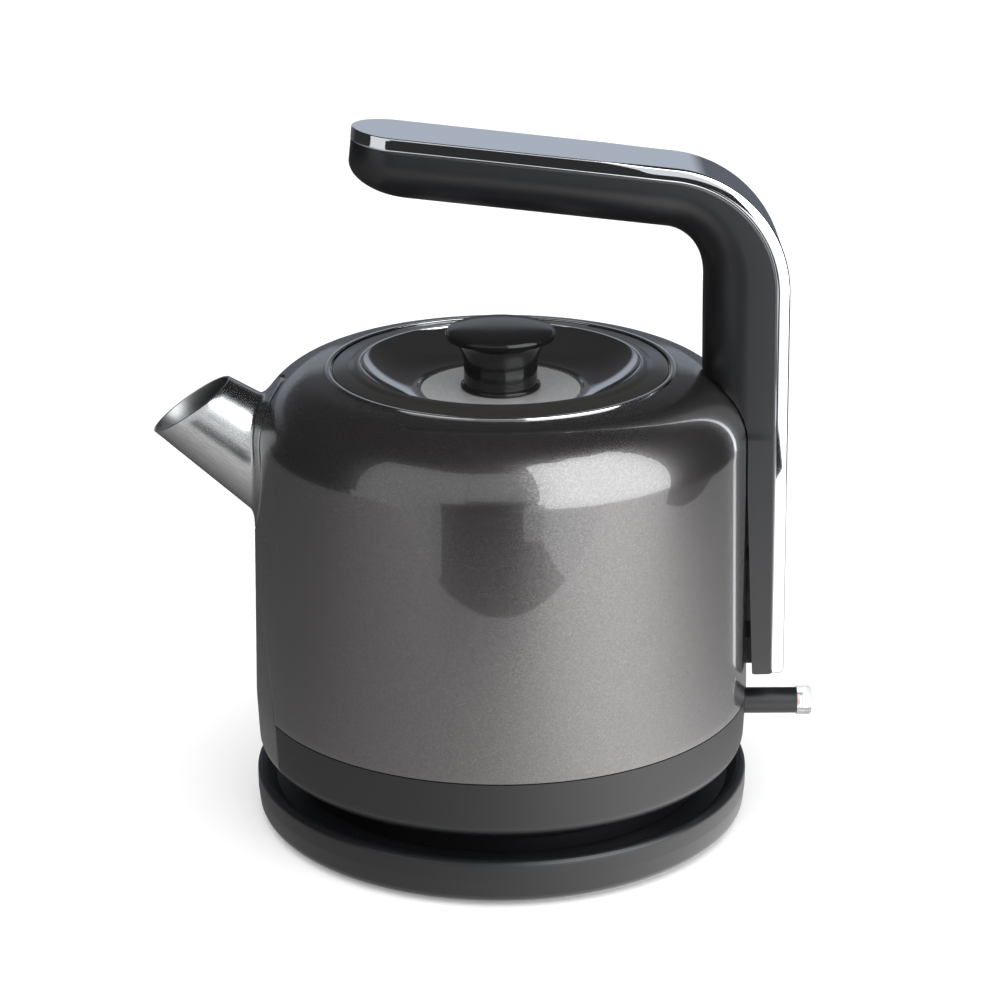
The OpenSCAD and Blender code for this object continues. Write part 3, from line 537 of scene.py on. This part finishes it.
def arc(centre, radius, start, end, steps):
    """Points of an arc, with its angles in degrees."""
    angles = [math.radians(start + (end - start) * i / steps) for i in range(steps + 1)]
    return [(centre[0] + radius * math.cos(a), centre[1] + radius * math.sin(a)) for a in angles]


def rounded(corners, steps=5):
    """Outline with its corners rounded: each corner is (r, z) or (r, z, radius)."""
    outline = []
    count = len(corners)
    for i, corner in enumerate(corners):
        here = Vector(corner[:2])
        if len(corner) < 3:
            outline.append(tuple(here))
            continue
        back = (Vector(corners[i - 1][:2]) - here)
        ahead = (Vector(corners[(i + 1) % count][:2]) - here)
        half = back.angle(ahead) / 2
        reach = min(corner[2] / math.tan(half), 0.48 * back.length, 0.48 * ahead.length)
        a, b = here + back.normalized() * reach, here + ahead.normalized() * reach
        for k in range(steps + 1):
            t = k / steps
            outline.append(tuple(a * (1 - t) ** 2 + here * 2 * t * (1 - t) + b * t ** 2))
    return outline


ON_AXIS = 1e-6


def turned(name, outline, body, slot, replaced, around):
    """Solid of revolution from a closed outline of (r, z) points."""
    count = len(outline)
    points = []
    for k in range(around):
        a = 2 * math.pi * k / around
        points += [(r * math.cos(a), r * math.sin(a), z) for r, z in outline]
    faces = []
    for k in range(around):
        n = (k + 1) % around
        for j in range(count):
            m = (j + 1) % count
            if max(outline[j][0], outline[m][0]) > ON_AXIS:
                faces.append((k * count + j, n * count + j, n * count + m, k * count + m))
    weld(piece(name, points, faces, body, slot, replaced))


def weld(thing):
    """Joins points that fall together, and drops faces that have no area."""
    work = bmesh.new()
    work.from_mesh(thing.data)
    bmesh.ops.remove_doubles(work, verts=work.verts, dist=1e-7)
    bmesh.ops.dissolve_degenerate(work, edges=work.edges, dist=1e-8)
    bmesh.ops.recalc_face_normals(work, faces=work.faces)
    work.to_mesh(thing.data)
    work.free()


def thicken(thing):
    """Wall of a sheet piece on its inner side, with its edges rounded."""
    wall = thing.modifiers.new("wall", "SOLIDIFY")
    wall.thickness = SHELL_T * MM
    wall.offset = -1
    wall.use_even_offset = True
    soft = thing.modifiers.new("edge", "BEVEL")
    soft.width = SHELL_EDGE * MM
    soft.segments = 3
    soft.limit_method = "ANGLE"
    soft.angle_limit = math.radians(50)
    soft.use_clamp_overlap = True


def spread(start, end, step):
    """Even values from start to end, about one step apart."""
    count = max(1, round(abs(end - start) / step))
    return [start + (end - start) * i / count for i in range(count + 1)]


def smooth_step(t):
    """Soft start and end between 0 and 1."""
    t = min(max(t, 0), 1)
    return t * t * (3 - 2 * t)


# ---------- outline of the body ----------

BODY_R = high("outer_shell", X)
SEAM_Z = low("outer_shell", Z)
TOP_Z = high("outer_shell", Z)
NECK_R = high("neck_ring", X) - 0.6
WALL_LEAN = math.radians(1.1)
CROWN_SLOPE = math.radians(8.3)
SHOULDER_R = 21
SHELL_T = 0.8
SHELL_EDGE = 0.2
SEAM_W = 0.5
BAND_LOW_Z = 22.5
BAND_STEP_Z = BAND_LOW_Z + 5
BAND_CURVE = 5.4
BAND_TAPER = 0.6


def crossing(n1, k1, n2, k2):
    """Point where the lines n1.p = k1 and n2.p = k2 meet."""
    det = n1[0] * n2[1] - n1[1] * n2[0]
    return ((k1 * n2[1] - k2 * n1[1]) / det, (n1[0] * k2 - n2[0] * k1) / det)


WALL_N = (math.cos(WALL_LEAN), math.sin(WALL_LEAN))
CROWN_N = (math.sin(CROWN_SLOPE), math.cos(CROWN_SLOPE))
SHOULDER_C = crossing(
    WALL_N, BODY_R * WALL_N[0] + SEAM_Z * WALL_N[1] - SHOULDER_R,
    CROWN_N, NECK_R * CROWN_N[0] + TOP_Z * CROWN_N[1] - SHOULDER_R)


def body_radius(z, out=0.0):
    """Radius of the body's surface at a height, or of a surface lying out millimetres outside it."""
    if z < BAND_STEP_Z:
        r = BAND_CURVE + out
        return BODY_R - BAND_TAPER - BAND_CURVE + math.sqrt(max(r * r - (BAND_STEP_Z - z) ** 2, 0))
    if z < SEAM_Z:
        return BODY_R + out - BAND_TAPER * (SEAM_Z - z) / (SEAM_Z - BAND_STEP_Z)
    r = SHOULDER_R + out
    if z < SHOULDER_C[1] + r * WALL_N[1]:
        return BODY_R - (z - SEAM_Z) * math.tan(WALL_LEAN) + out / WALL_N[0]
    if z < SHOULDER_C[1] + r * CROWN_N[1]:
        return SHOULDER_C[0] + math.sqrt(r * r - (z - SHOULDER_C[1]) ** 2)
    return NECK_R + (TOP_Z + out / CROWN_N[1] - z) / math.tan(CROWN_SLOPE)


SPOUT_ROOT_Z = TOP_Z - 26.7
SPOUT_MOUTH_R = 13.6
FRONT_C = SPOUT_ROOT_Z - 1.5
FRONT_R = SPOUT_MOUTH_R + 10.4
SPLIT_Z = FRONT_C - FRONT_R + 5.8
SKIRT_W = 35
WAIST_W = FRONT_R * 0.68


def front_half(z, grow):
    """Half width of the front opening at a height: a bell below, a disc round the spout above."""
    bell = 0.0
    if z <= SPLIT_Z + grow:
        t = (z - (SEAM_Z - 5)) / (SPLIT_Z - 3 - (SEAM_Z - 5))
        bell = grow + SKIRT_W + (WAIST_W - SKIRT_W) * smooth_step(t)
    disc = math.sqrt(max((FRONT_R + grow) ** 2 - (z - FRONT_C) ** 2, 0))
    return max(bell, disc)


def make_outer_shell():
    """Painted shell with the keyhole-shaped opening at its front."""
    row_step, least_gap, columns = 3, 0.01, 241
    rim = FRONT_R + SEAM_W
    rows = spread(SEAM_Z, SPLIT_Z, row_step)
    rows += [FRONT_C + rim * math.sin(math.radians(a)) for a in spread(-49, 90, row_step)]
    rows += [z for _, z in arc(SHOULDER_C, SHOULDER_R, 1.1, 90 - math.degrees(CROWN_SLOPE), 30)]
    rows += spread(SHOULDER_C[1] + SHOULDER_R * CROWN_N[1], TOP_Z, 0.3)
    rows = sorted(set(round(z, 4) for z in rows))
    rows = [z for i, z in enumerate(rows) if i == 0 or z - rows[i - 1] > least_gap]
    points = []
    for z in rows:
        r = body_radius(z)
        half = math.asin(min(front_half(z, SEAM_W) / r, 1))
        for j in range(columns):
            a = math.pi + half + (2 * math.pi - 2 * half) * j / (columns - 1)
            points.append((r * math.cos(a), r * math.sin(a), z))
    faces = skin_faces(len(rows), columns, False)
    shell = piece("outer_shell_skin", points, faces, "kettle", "shell_paint", ["outer_shell"])
    weld(shell)
    thicken(shell)


def make_front_panel():
    """Painted panel under the spout, flush with shell and band, hollowed at its top for the flange."""
    columns = 61
    rim = FRONT_R + SEAM_W
    lower = [z for _, z in arc((0, BAND_STEP_Z), BAND_CURVE, -86, 0, 8)]
    lower += spread(BAND_STEP_Z + 1, SPLIT_Z - 12, 2)
    upper = spread(0, 1, 0.06)[1:]
    points = []
    for i in range(len(lower) + len(upper)):
        for j in range(columns):
            share = 2 * j / (columns - 1) - 1
            if i < len(lower):
                z = lower[i]
            else:
                side = share * WAIST_W
                top = FRONT_C - math.sqrt(rim * rim - side * side)
                z = lower[-1] + (top - lower[-1]) * upper[i - len(lower)]
            y = share * front_half(min(z, SPLIT_Z), 0)
            points.append((-math.sqrt(body_radius(z) ** 2 - y * y), y, z))
    faces = skin_faces(len(lower) + len(upper), columns, False)
    panel = piece("front_panel_skin", points, faces, "kettle", "shell_paint", ["front_panel"])
    weld(panel)
    thicken(panel)


# ---------- spout ----------

SPOUT_T = 0.8
SPOUT_ROOT_R = BODY_R - 2.2
SPOUT_REACH = 108.6
SPOUT_TAPER = math.tan(math.radians(6))
MOUTH_SLOPE = math.radians(33.7)
LIP_R = 0.25
MOUTH_S = (SPOUT_REACH - SPOUT_ROOT_R - math.sin(SPOUT_TILT) * SPOUT_MOUTH_R) / math.cos(SPOUT_TILT) - 4
SPOUT_U = Vector((-math.cos(SPOUT_TILT), 0, math.sin(SPOUT_TILT)))
SPOUT_N = Vector((math.sin(SPOUT_TILT), 0, math.cos(SPOUT_TILT)))


def spout_point(s, a, less=0.0):
    """Point of the spout's cone: s along its axis, a the angle from its top, less the inset."""
    r = SPOUT_MOUTH_R + (MOUTH_S - s) * SPOUT_TAPER - less
    across = SPOUT_N * math.cos(a) + Vector((0, 1, 0)) * math.sin(a)
    return Vector((-SPOUT_ROOT_R, 0, SPOUT_ROOT_Z)) + SPOUT_U * s + across * r


def mouth_at(a, less, back):
    """Where a line of the cone meets the plane of the mouth, or a plane further back."""
    normal = Vector((-math.sin(MOUTH_SLOPE), 0, math.cos(MOUTH_SLOPE)))
    tip = spout_point(MOUTH_S + 5, math.pi)
    near, far = spout_point(0, a, less), spout_point(10, a, less)
    rate = (far - near).dot(normal) / 10
    return ((tip - near).dot(normal) - back) / rate


def wall_at(a):
    """Where a line of the cone meets the wall."""
    inside, outside = -25.0, 30.0
    for _ in range(40):
        s = (inside + outside) / 2
        p = spout_point(s, a)
        if math.hypot(p.x, p.y) > body_radius(p.z):
            outside = s
        else:
            inside = s
    return s


def flange_point(a, reach, depth=0.0):
    """Point of the flange in the wall: a the angle from its top, reach the distance from its centre."""
    y, z = reach * math.sin(a), FRONT_C + reach * math.cos(a)
    r = body_radius(z, -depth)
    return Vector((-math.sqrt(r * r - y * y), y, z))


def lip_point(a, turn, inside):
    """Point of the mouth's rounded lip, turn the angle round it from the side in degrees."""
    v = math.radians(turn)
    less = LIP_R * (1 - math.cos(v))
    if inside:
        less = SPOUT_T - less
    return spout_point(mouth_at(a, less, LIP_R * (1 - math.sin(v))), a, less)


def flare_points(a, root, start, edge):
    """Curve from the flange's edge into the straight part of the spout."""
    end = flange_point(a, edge - 0.3)
    heading = (spout_point(root, a) - start).normalized()
    inward = (flange_point(a, edge - 1.5) - end).normalized()
    gap = (end - start).length
    bend = [start, start + heading * gap * 0.25, end + inward * gap * 0.5, end]
    points = []
    for i in range(17):
        t = 1 - i / 16
        weights = ((1 - t) ** 3, 3 * t * (1 - t) ** 2, 3 * t * t * (1 - t), t ** 3)
        points.append(sum((p * w for p, w in zip(bend, weights)), Vector((0, 0, 0))))
    return points


def spout_column(a):
    """Points down one line of the spout: those outside from the flange to the lip, then those inside."""
    edge = FRONT_R - 0.3
    root = wall_at(a)
    straight, mouth = root + 2, mouth_at(a, 0, LIP_R)
    outside = [flange_point(a, edge, SHELL_T + 0.5), flange_point(a, edge, 0.25)]
    outside += flare_points(a, root, spout_point(straight, a), edge)
    outside += [spout_point(straight + (mouth - straight) * i / 8, a) for i in range(1, 9)]
    outside += [lip_point(a, turn, False) for turn in (30, 60, 90)]
    inside = [lip_point(a, turn, True) for turn in (60, 30, 0)]
    lip = mouth_at(a, SPOUT_T, LIP_R)
    inside += [spout_point(lip + (root - 5 - lip) * i / 10, a, SPOUT_T) for i in range(1, 11)]
    return outside, inside


def make_spout():
    """Spout that flares into the round flange in the wall, with a thin lip and a satin inside."""
    count = 120
    columns = [spout_column(2 * math.pi * k / count) for k in range(count)]
    first_inside = len(columns[0][0])
    height = first_inside + len(columns[0][1])
    points = [(outside + inside)[i] for i in range(height) for outside, inside in columns]
    spout = piece(
        "spout_skin", points, skin_faces(height, count, True), "kettle", "spout_steel", ["spout"], 40,
        ["spout_steel", "spout_inside"])
    for polygon in spout.data.polygons:
        if polygon.vertices[0] // count >= first_inside:
            polygon.material_index = 1


# ---------- handle ----------

GRIP_Z = 219.5
GRIP_SLOPE = math.radians(6.4)
GRIP_REACH = 45
BEND_R = 40
HANDLE_W = 2 * high("handle_trim", Y)
GRIP_DEPTH = 20.5
LEG_DEPTH = 26
TIP_LEN = 19
TIP_RISE = 10
LEG_CORNER = 1.2
TRIM_T = 4.2
TRIM_PROUD = 0.1
TRIM_CORNER = 2.2
SWELL_START = 24
SWELL_LEN = 18
LEG_X = BODY_R + 9.4
LEG_LOW_Z = 48.5
LEG_LEAN = math.radians(0.75)
GRIP_DIR = Vector((math.cos(GRIP_SLOPE), -math.sin(GRIP_SLOPE)))
GRIP_IN = Vector((-math.sin(GRIP_SLOPE), -math.cos(GRIP_SLOPE)))
LEG_DIR = Vector((math.sin(LEG_LEAN), -math.cos(LEG_LEAN)))
LEG_IN = Vector((-math.cos(LEG_LEAN), -math.sin(LEG_LEAN)))
BEND_C = Vector(crossing(
    GRIP_IN, GRIP_Z * GRIP_IN[1] + BEND_R,
    LEG_IN, LEG_X * LEG_IN[0] + (GRIP_Z - 47.5) * LEG_IN[1] + BEND_R))
TIP = Vector((-GRIP_REACH, GRIP_Z + GRIP_REACH * math.tan(GRIP_SLOPE)))
GRIP_LEN = (BEND_C - GRIP_IN * BEND_R - TIP).length
BEND_END = BEND_C - LEG_IN * BEND_R
BEND_LEN = BEND_R * (math.pi / 2 + LEG_LEAN - GRIP_SLOPE)
LEG_LEN = (BEND_END[1] - LEG_LOW_Z) / math.cos(LEG_LEAN)
HANDLE_LEN = GRIP_LEN + BEND_LEN + LEG_LEN


def handle_point(s, side, depth):
    """Point of the handle: s along its outer face from the grip's tip, side across it, depth below it."""
    if s < GRIP_LEN:
        p = TIP + GRIP_DIR * s + GRIP_IN * depth
    elif s < GRIP_LEN + BEND_LEN:
        a = GRIP_SLOPE + (s - GRIP_LEN) / BEND_R
        p = BEND_C + (BEND_R - depth) * Vector((math.sin(a), math.cos(a)))
    else:
        p = BEND_END + LEG_DIR * (s - GRIP_LEN - BEND_LEN) + LEG_IN * depth
    return (p[0], side, p[1])


def trim_levels(share):
    """Inset and depth of the trim's edge lines: plain sides at 0, swelling ones with a rounder edge at 1."""
    bevel, fillet, swell = 0.35, 0.35 + 0.85 * share, 0.4 * share
    levels = [(bevel + 0.2, TRIM_T), (bevel, TRIM_T), (0.08, TRIM_T - bevel)]
    for i in range(7):
        depth = (TRIM_T - bevel - 0.3) + (fillet - TRIM_T + bevel + 0.3) * i / 6
        levels.append((swell * (1 - depth / TRIM_T) ** 2, depth))
    side = levels[-1][0]
    levels += [(side + fillet * (1 - math.cos(a)), fillet * (1 - math.sin(a)))
               for a in (math.radians(v) for v in (20, 40, 55, 70, 80, 90))]
    return levels + [(side + fillet + 0.3, 0)]


def trim_edge(plain_side, full_side):
    """Half outline of the bright trim at one level, from the grip's tip to the middle of the leg's end."""
    half = HANDLE_W / 2 + TRIM_PROUD
    inset, depth = plain_side
    r = half - inset
    edge = []
    for i in range(25):
        a = math.pi / 2 * i / 24
        edge.append((HANDLE_W / 2 - r * math.cos(a), r * math.sin(a), depth))
    for s in [HANDLE_W / 2 + 20] + spread(GRIP_LEN - SWELL_START, GRIP_LEN + BEND_LEN, 1.1):
        share = smooth_step((s - GRIP_LEN + SWELL_START) / SWELL_LEN)
        inset, depth = (a + (b - a) * share for a, b in zip(plain_side, full_side))
        edge.append((s, half - inset, depth))
    inset, depth = full_side
    edge.append((HANDLE_LEN - TRIM_CORNER - 20, half - inset, depth))
    small = TRIM_CORNER - inset
    for i in range(7):
        a = math.pi / 2 * i / 6
        down, across = small * math.sin(a), small * math.cos(a)
        edge.append((HANDLE_LEN - TRIM_CORNER + down, half - TRIM_CORNER + across, depth))
    edge.append((HANDLE_LEN - inset, 0, depth))
    return edge


def ladder_faces(start, count, around):
    """Faces that close one side of the trim, from its left edge across to its right edge."""
    faces = []
    for i in range(count - 1):
        a, b = start + i, start + i + 1
        c = start + (around - i - 1) % around if i + 1 < count - 1 else b
        d = start + (around - i) % around
        faces.append(tuple(dict.fromkeys((a, b, c, d))))
    return [face for face in faces if len(face) > 2]


def make_handle_trim():
    """Bright trim along the outside of the handle: a plate whose sides swell from the bend down."""
    points = []
    for plain_side, full_side in zip(trim_levels(0), trim_levels(1)):
        half = trim_edge(plain_side, full_side)
        loop = half + [(s, -y, depth) for s, y, depth in reversed(half[1:-1])]
        points += [handle_point(*place) for place in loop]
    around = 2 * len(half) - 2
    levels = len(points) // around
    faces = skin_faces(levels, around, True)
    faces += [face[::-1] for face in ladder_faces(0, len(half), around)]
    faces += ladder_faces((levels - 1) * around, len(half), around)
    weld(piece("handle_trim_plate", points, faces, "kettle", "trim_chrome", ["handle_trim"], 30))


LEG_GAP_TOP = 0.35
LEG_GAP_LOW = 2.2
GAP_START_Z = LEG_LOW_Z + 62


def leg_limit(z):
    """Radius that the handle keeps clear of, round the shell."""
    if z > TOP_Z + LEG_GAP_TOP:
        return 0
    if z > GAP_START_Z:
        return body_radius(z, LEG_GAP_TOP)
    low_z = LEG_LOW_Z - 4
    t = (GAP_START_Z - z) / (GAP_START_Z - low_z)
    high_r = body_radius(GAP_START_Z, LEG_GAP_TOP)
    low_r = body_radius(low_z, LEG_GAP_LOW)
    return high_r + (low_r - high_r) * t


def handle_depth(s):
    """Depth of the handle under its outer face: less at the rounded tip, more down the leg."""
    if s < TIP_LEN:
        f = 1 - s / TIP_LEN
        return GRIP_DEPTH - TIP_RISE * (1 - math.sqrt(max(1 - f * f, 0)))
    return GRIP_DEPTH + (LEG_DEPTH - GRIP_DEPTH) * smooth_step((s - GRIP_LEN) / BEND_LEN)


def handle_section(s, shrink=0.0):
    """Closed U-shaped section of the plastic part: flat under the trim, round on the inside."""
    half = HANDLE_W / 2
    u = min(s, half)
    half = math.sqrt(max(half * half - (half - u) ** 2, 0)) - shrink
    half = max(half, 0)
    depth = handle_depth(s) - shrink
    knee = max(TRIM_T + 1, handle_depth(s) - HANDLE_W / 2)
    outline = [(half - 0.3, TRIM_T - 0.1), (half - 0.25, TRIM_T + 0.15), (half, TRIM_T + 0.45)]
    outline = [(max(y, 0), d) for y, d in outline]
    outline += [(half * math.cos(a), knee + (depth - knee) * math.sin(a))
                for a in (math.pi * i / 36 for i in range(37))]
    outline += [(-y, d) for y, d in reversed(outline[:3])]
    points = [list(handle_point(s, y, d)) for y, d in outline]
    if s > GRIP_LEN + BEND_LEN:
        for p in points:
            limit = leg_limit(p[2]) + shrink
            if abs(p[1]) < limit:
                p[0] = max(p[0], math.sqrt(limit * limit - p[1] ** 2))
    return points


def make_handle_body():
    """Plastic part of the handle, fitted round the shell where the leg runs down beside it."""
    half = HANDLE_W / 2
    stations = [half * (1 - math.cos(math.radians(a))) for a in spread(0, 90, 5)]
    stations += spread(half, TIP_LEN, 1)[1:] + [40, GRIP_LEN - 10]
    leg = GRIP_LEN + BEND_LEN
    stations += spread(GRIP_LEN, leg, 1.5)
    stations += spread(leg + 1.5, leg + 64, 1)
    stations += spread(leg + 64, HANDLE_LEN - LEG_CORNER, 4)[1:]
    sections = [handle_section(s) for s in stations]
    for turn in (30, 60, 90):
        v = math.radians(turn)
        s = HANDLE_LEN - LEG_CORNER + LEG_CORNER * math.sin(v)
        sections.append(handle_section(s, LEG_CORNER * (1 - math.cos(v))))
    count = len(sections[0])
    points = [p for section in sections for p in section]
    faces = skin_faces(len(sections), count, True)
    faces.append(tuple(range(len(points) - count, len(points))))
    weld(piece("handle_plastic", points, faces, "kettle", "band_plastic", ["handle_body"], 38))


# ---------- lid ----------

LID_R = high("lid_rim", X)
LID_EDGE_Z = TOP_Z + 0.1
CREST_Z = high("lid_rim", Z)
DISH_R = 44
DISH_DEPTH = 8.2
DISH_Z = CREST_Z - DISH_DEPTH
DISH_T = 0.8
DISC_LOW_Z = DISH_Z - 1.2
STUD_HOLE_R = 3
DISC_R = high("lid_disc", X)
KNOB_R = high("lid_knob", X) + 0.3
KNOB_Z = low("lid_knob", Z)
KNOB_TOP = high("lid_knob", Z)


def make_neck():
    """Bright ring that lines the neck, with a narrow lip on the crown."""
    r = LID_R + 0.7
    lip = TOP_Z + 0.4
    ledge = low("neck_ring", Z)
    turned("neck_ring_hem", rounded([
        (r - 2.8, ledge, 0.1), (r + 0.7, ledge, 0.1), (r + 0.7, TOP_Z + 0.02), (r + 1.5, TOP_Z - 0.06),
        (r + 1.5, lip, 0.3), (r, lip, 0.3), (r, ledge + 0.7, 0.1), (r - 2.8, ledge + 0.7, 0.1)
    ]), "kettle", "bright_steel", ["neck_ring"], 200)


def make_lid():
    """Lid's painted rim, its mirror dish with a curved wall, and the turned disc at the dish's foot."""
    turned("lid_rim_ring", rounded([
        (DISH_R + 0.6, CREST_Z - 1.4), (LID_R, LID_EDGE_Z - 3), (LID_R, LID_EDGE_Z, 0.6),
        (DISH_R + 3.4, CREST_Z - 0.7, 1.5), (DISH_R + 1.8, CREST_Z - 0.15, 0.8), (DISH_R + 0.6, CREST_Z, 0.1)
    ]), "lid", "rim_metal", ["lid_rim"], 200)
    foot = DISC_R + 2.5
    curve = []
    for i in range(41):
        v = math.sin(math.pi / 2 * i / 40)
        curve.append((foot + (DISH_R - foot) * (1 - v ** 1.6) ** 0.625, CREST_Z - DISH_DEPTH * v ** 1.3))
    under = [(r + 0.2, z - DISH_T) for r, z in reversed(curve)]
    outline = [(DISH_R + 0.6, CREST_Z - 0.02)] + curve
    outline += [(DISC_R + 1.2, DISH_Z), (DISC_R + 1.0, DISH_Z - 0.2), (DISC_R + 1.0, DISC_LOW_Z)]
    outline += [(STUD_HOLE_R, DISC_LOW_Z), (STUD_HOLE_R, DISC_LOW_Z - DISH_T)]
    outline += [(DISC_R + 2, DISC_LOW_Z - DISH_T)]
    outline += under + [(DISH_R + 0.6, CREST_Z - 1.2)]
    turned("lid_dish_mirror", outline, "lid", "lid_chrome", ["lid_dish"], 200)
    disc_top = DISH_Z - 0.2
    turned("lid_disc_turned", rounded([
        (STUD_HOLE_R, DISC_LOW_Z), (DISC_R, DISC_LOW_Z), (DISC_R, disc_top, 0.3), (STUD_HOLE_R, disc_top)
    ]), "lid", "brushed_disc", ["lid_disc"], 160)


def make_knob():
    """Turned knob: a foot bead, a straight stem that flares, and a slightly domed top."""
    stem = KNOB_R * 0.67
    bead, edge, bore = 0.8, 1.4, 1.5
    bore_top = KNOB_Z + 11
    height = KNOB_TOP - KNOB_Z
    flare = []
    for i in range(25):
        t = math.pi / 2 * i / 24
        r = stem + (KNOB_R - 0.3 - stem) * (1 - math.cos(t))
        flare.append((r, KNOB_Z + 6.4 + (height - 9.6) * math.sin(t)))
    outline = [(bore, KNOB_Z), (stem + 0.3, KNOB_Z)] + arc((stem + 0.3, KNOB_Z + bead), bead, -90, 90, 10)
    outline += [(stem, KNOB_Z + 1.75)] + flare
    outline += arc((KNOB_R - edge, KNOB_TOP - 2), edge, 0, 80, 10)
    outline += [(KNOB_R - 5, KNOB_TOP - 0.25), (6, KNOB_TOP - 0.03), (0, KNOB_TOP)]
    outline += [(0, bore_top), (bore, bore_top)]
    turned("lid_knob_turned", outline, "lid", "black_gloss", ["lid_knob"], 128)


# ---------- everything ----------

def finish_packed_parts():
    """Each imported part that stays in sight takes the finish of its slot."""
    for entry in frame["record"]["subparts"]:
        materials = frame["nodes"][entry["node"]].data.materials
        materials.clear()
        materials.append(finishes[entry["material_slot"]].material)


set_camera()
set_room()
finish_packed_parts()
make_outer_shell()
make_front_panel()
make_spout()
make_handle_trim()
make_handle_body()
make_neck()
make_lid()
make_knob()
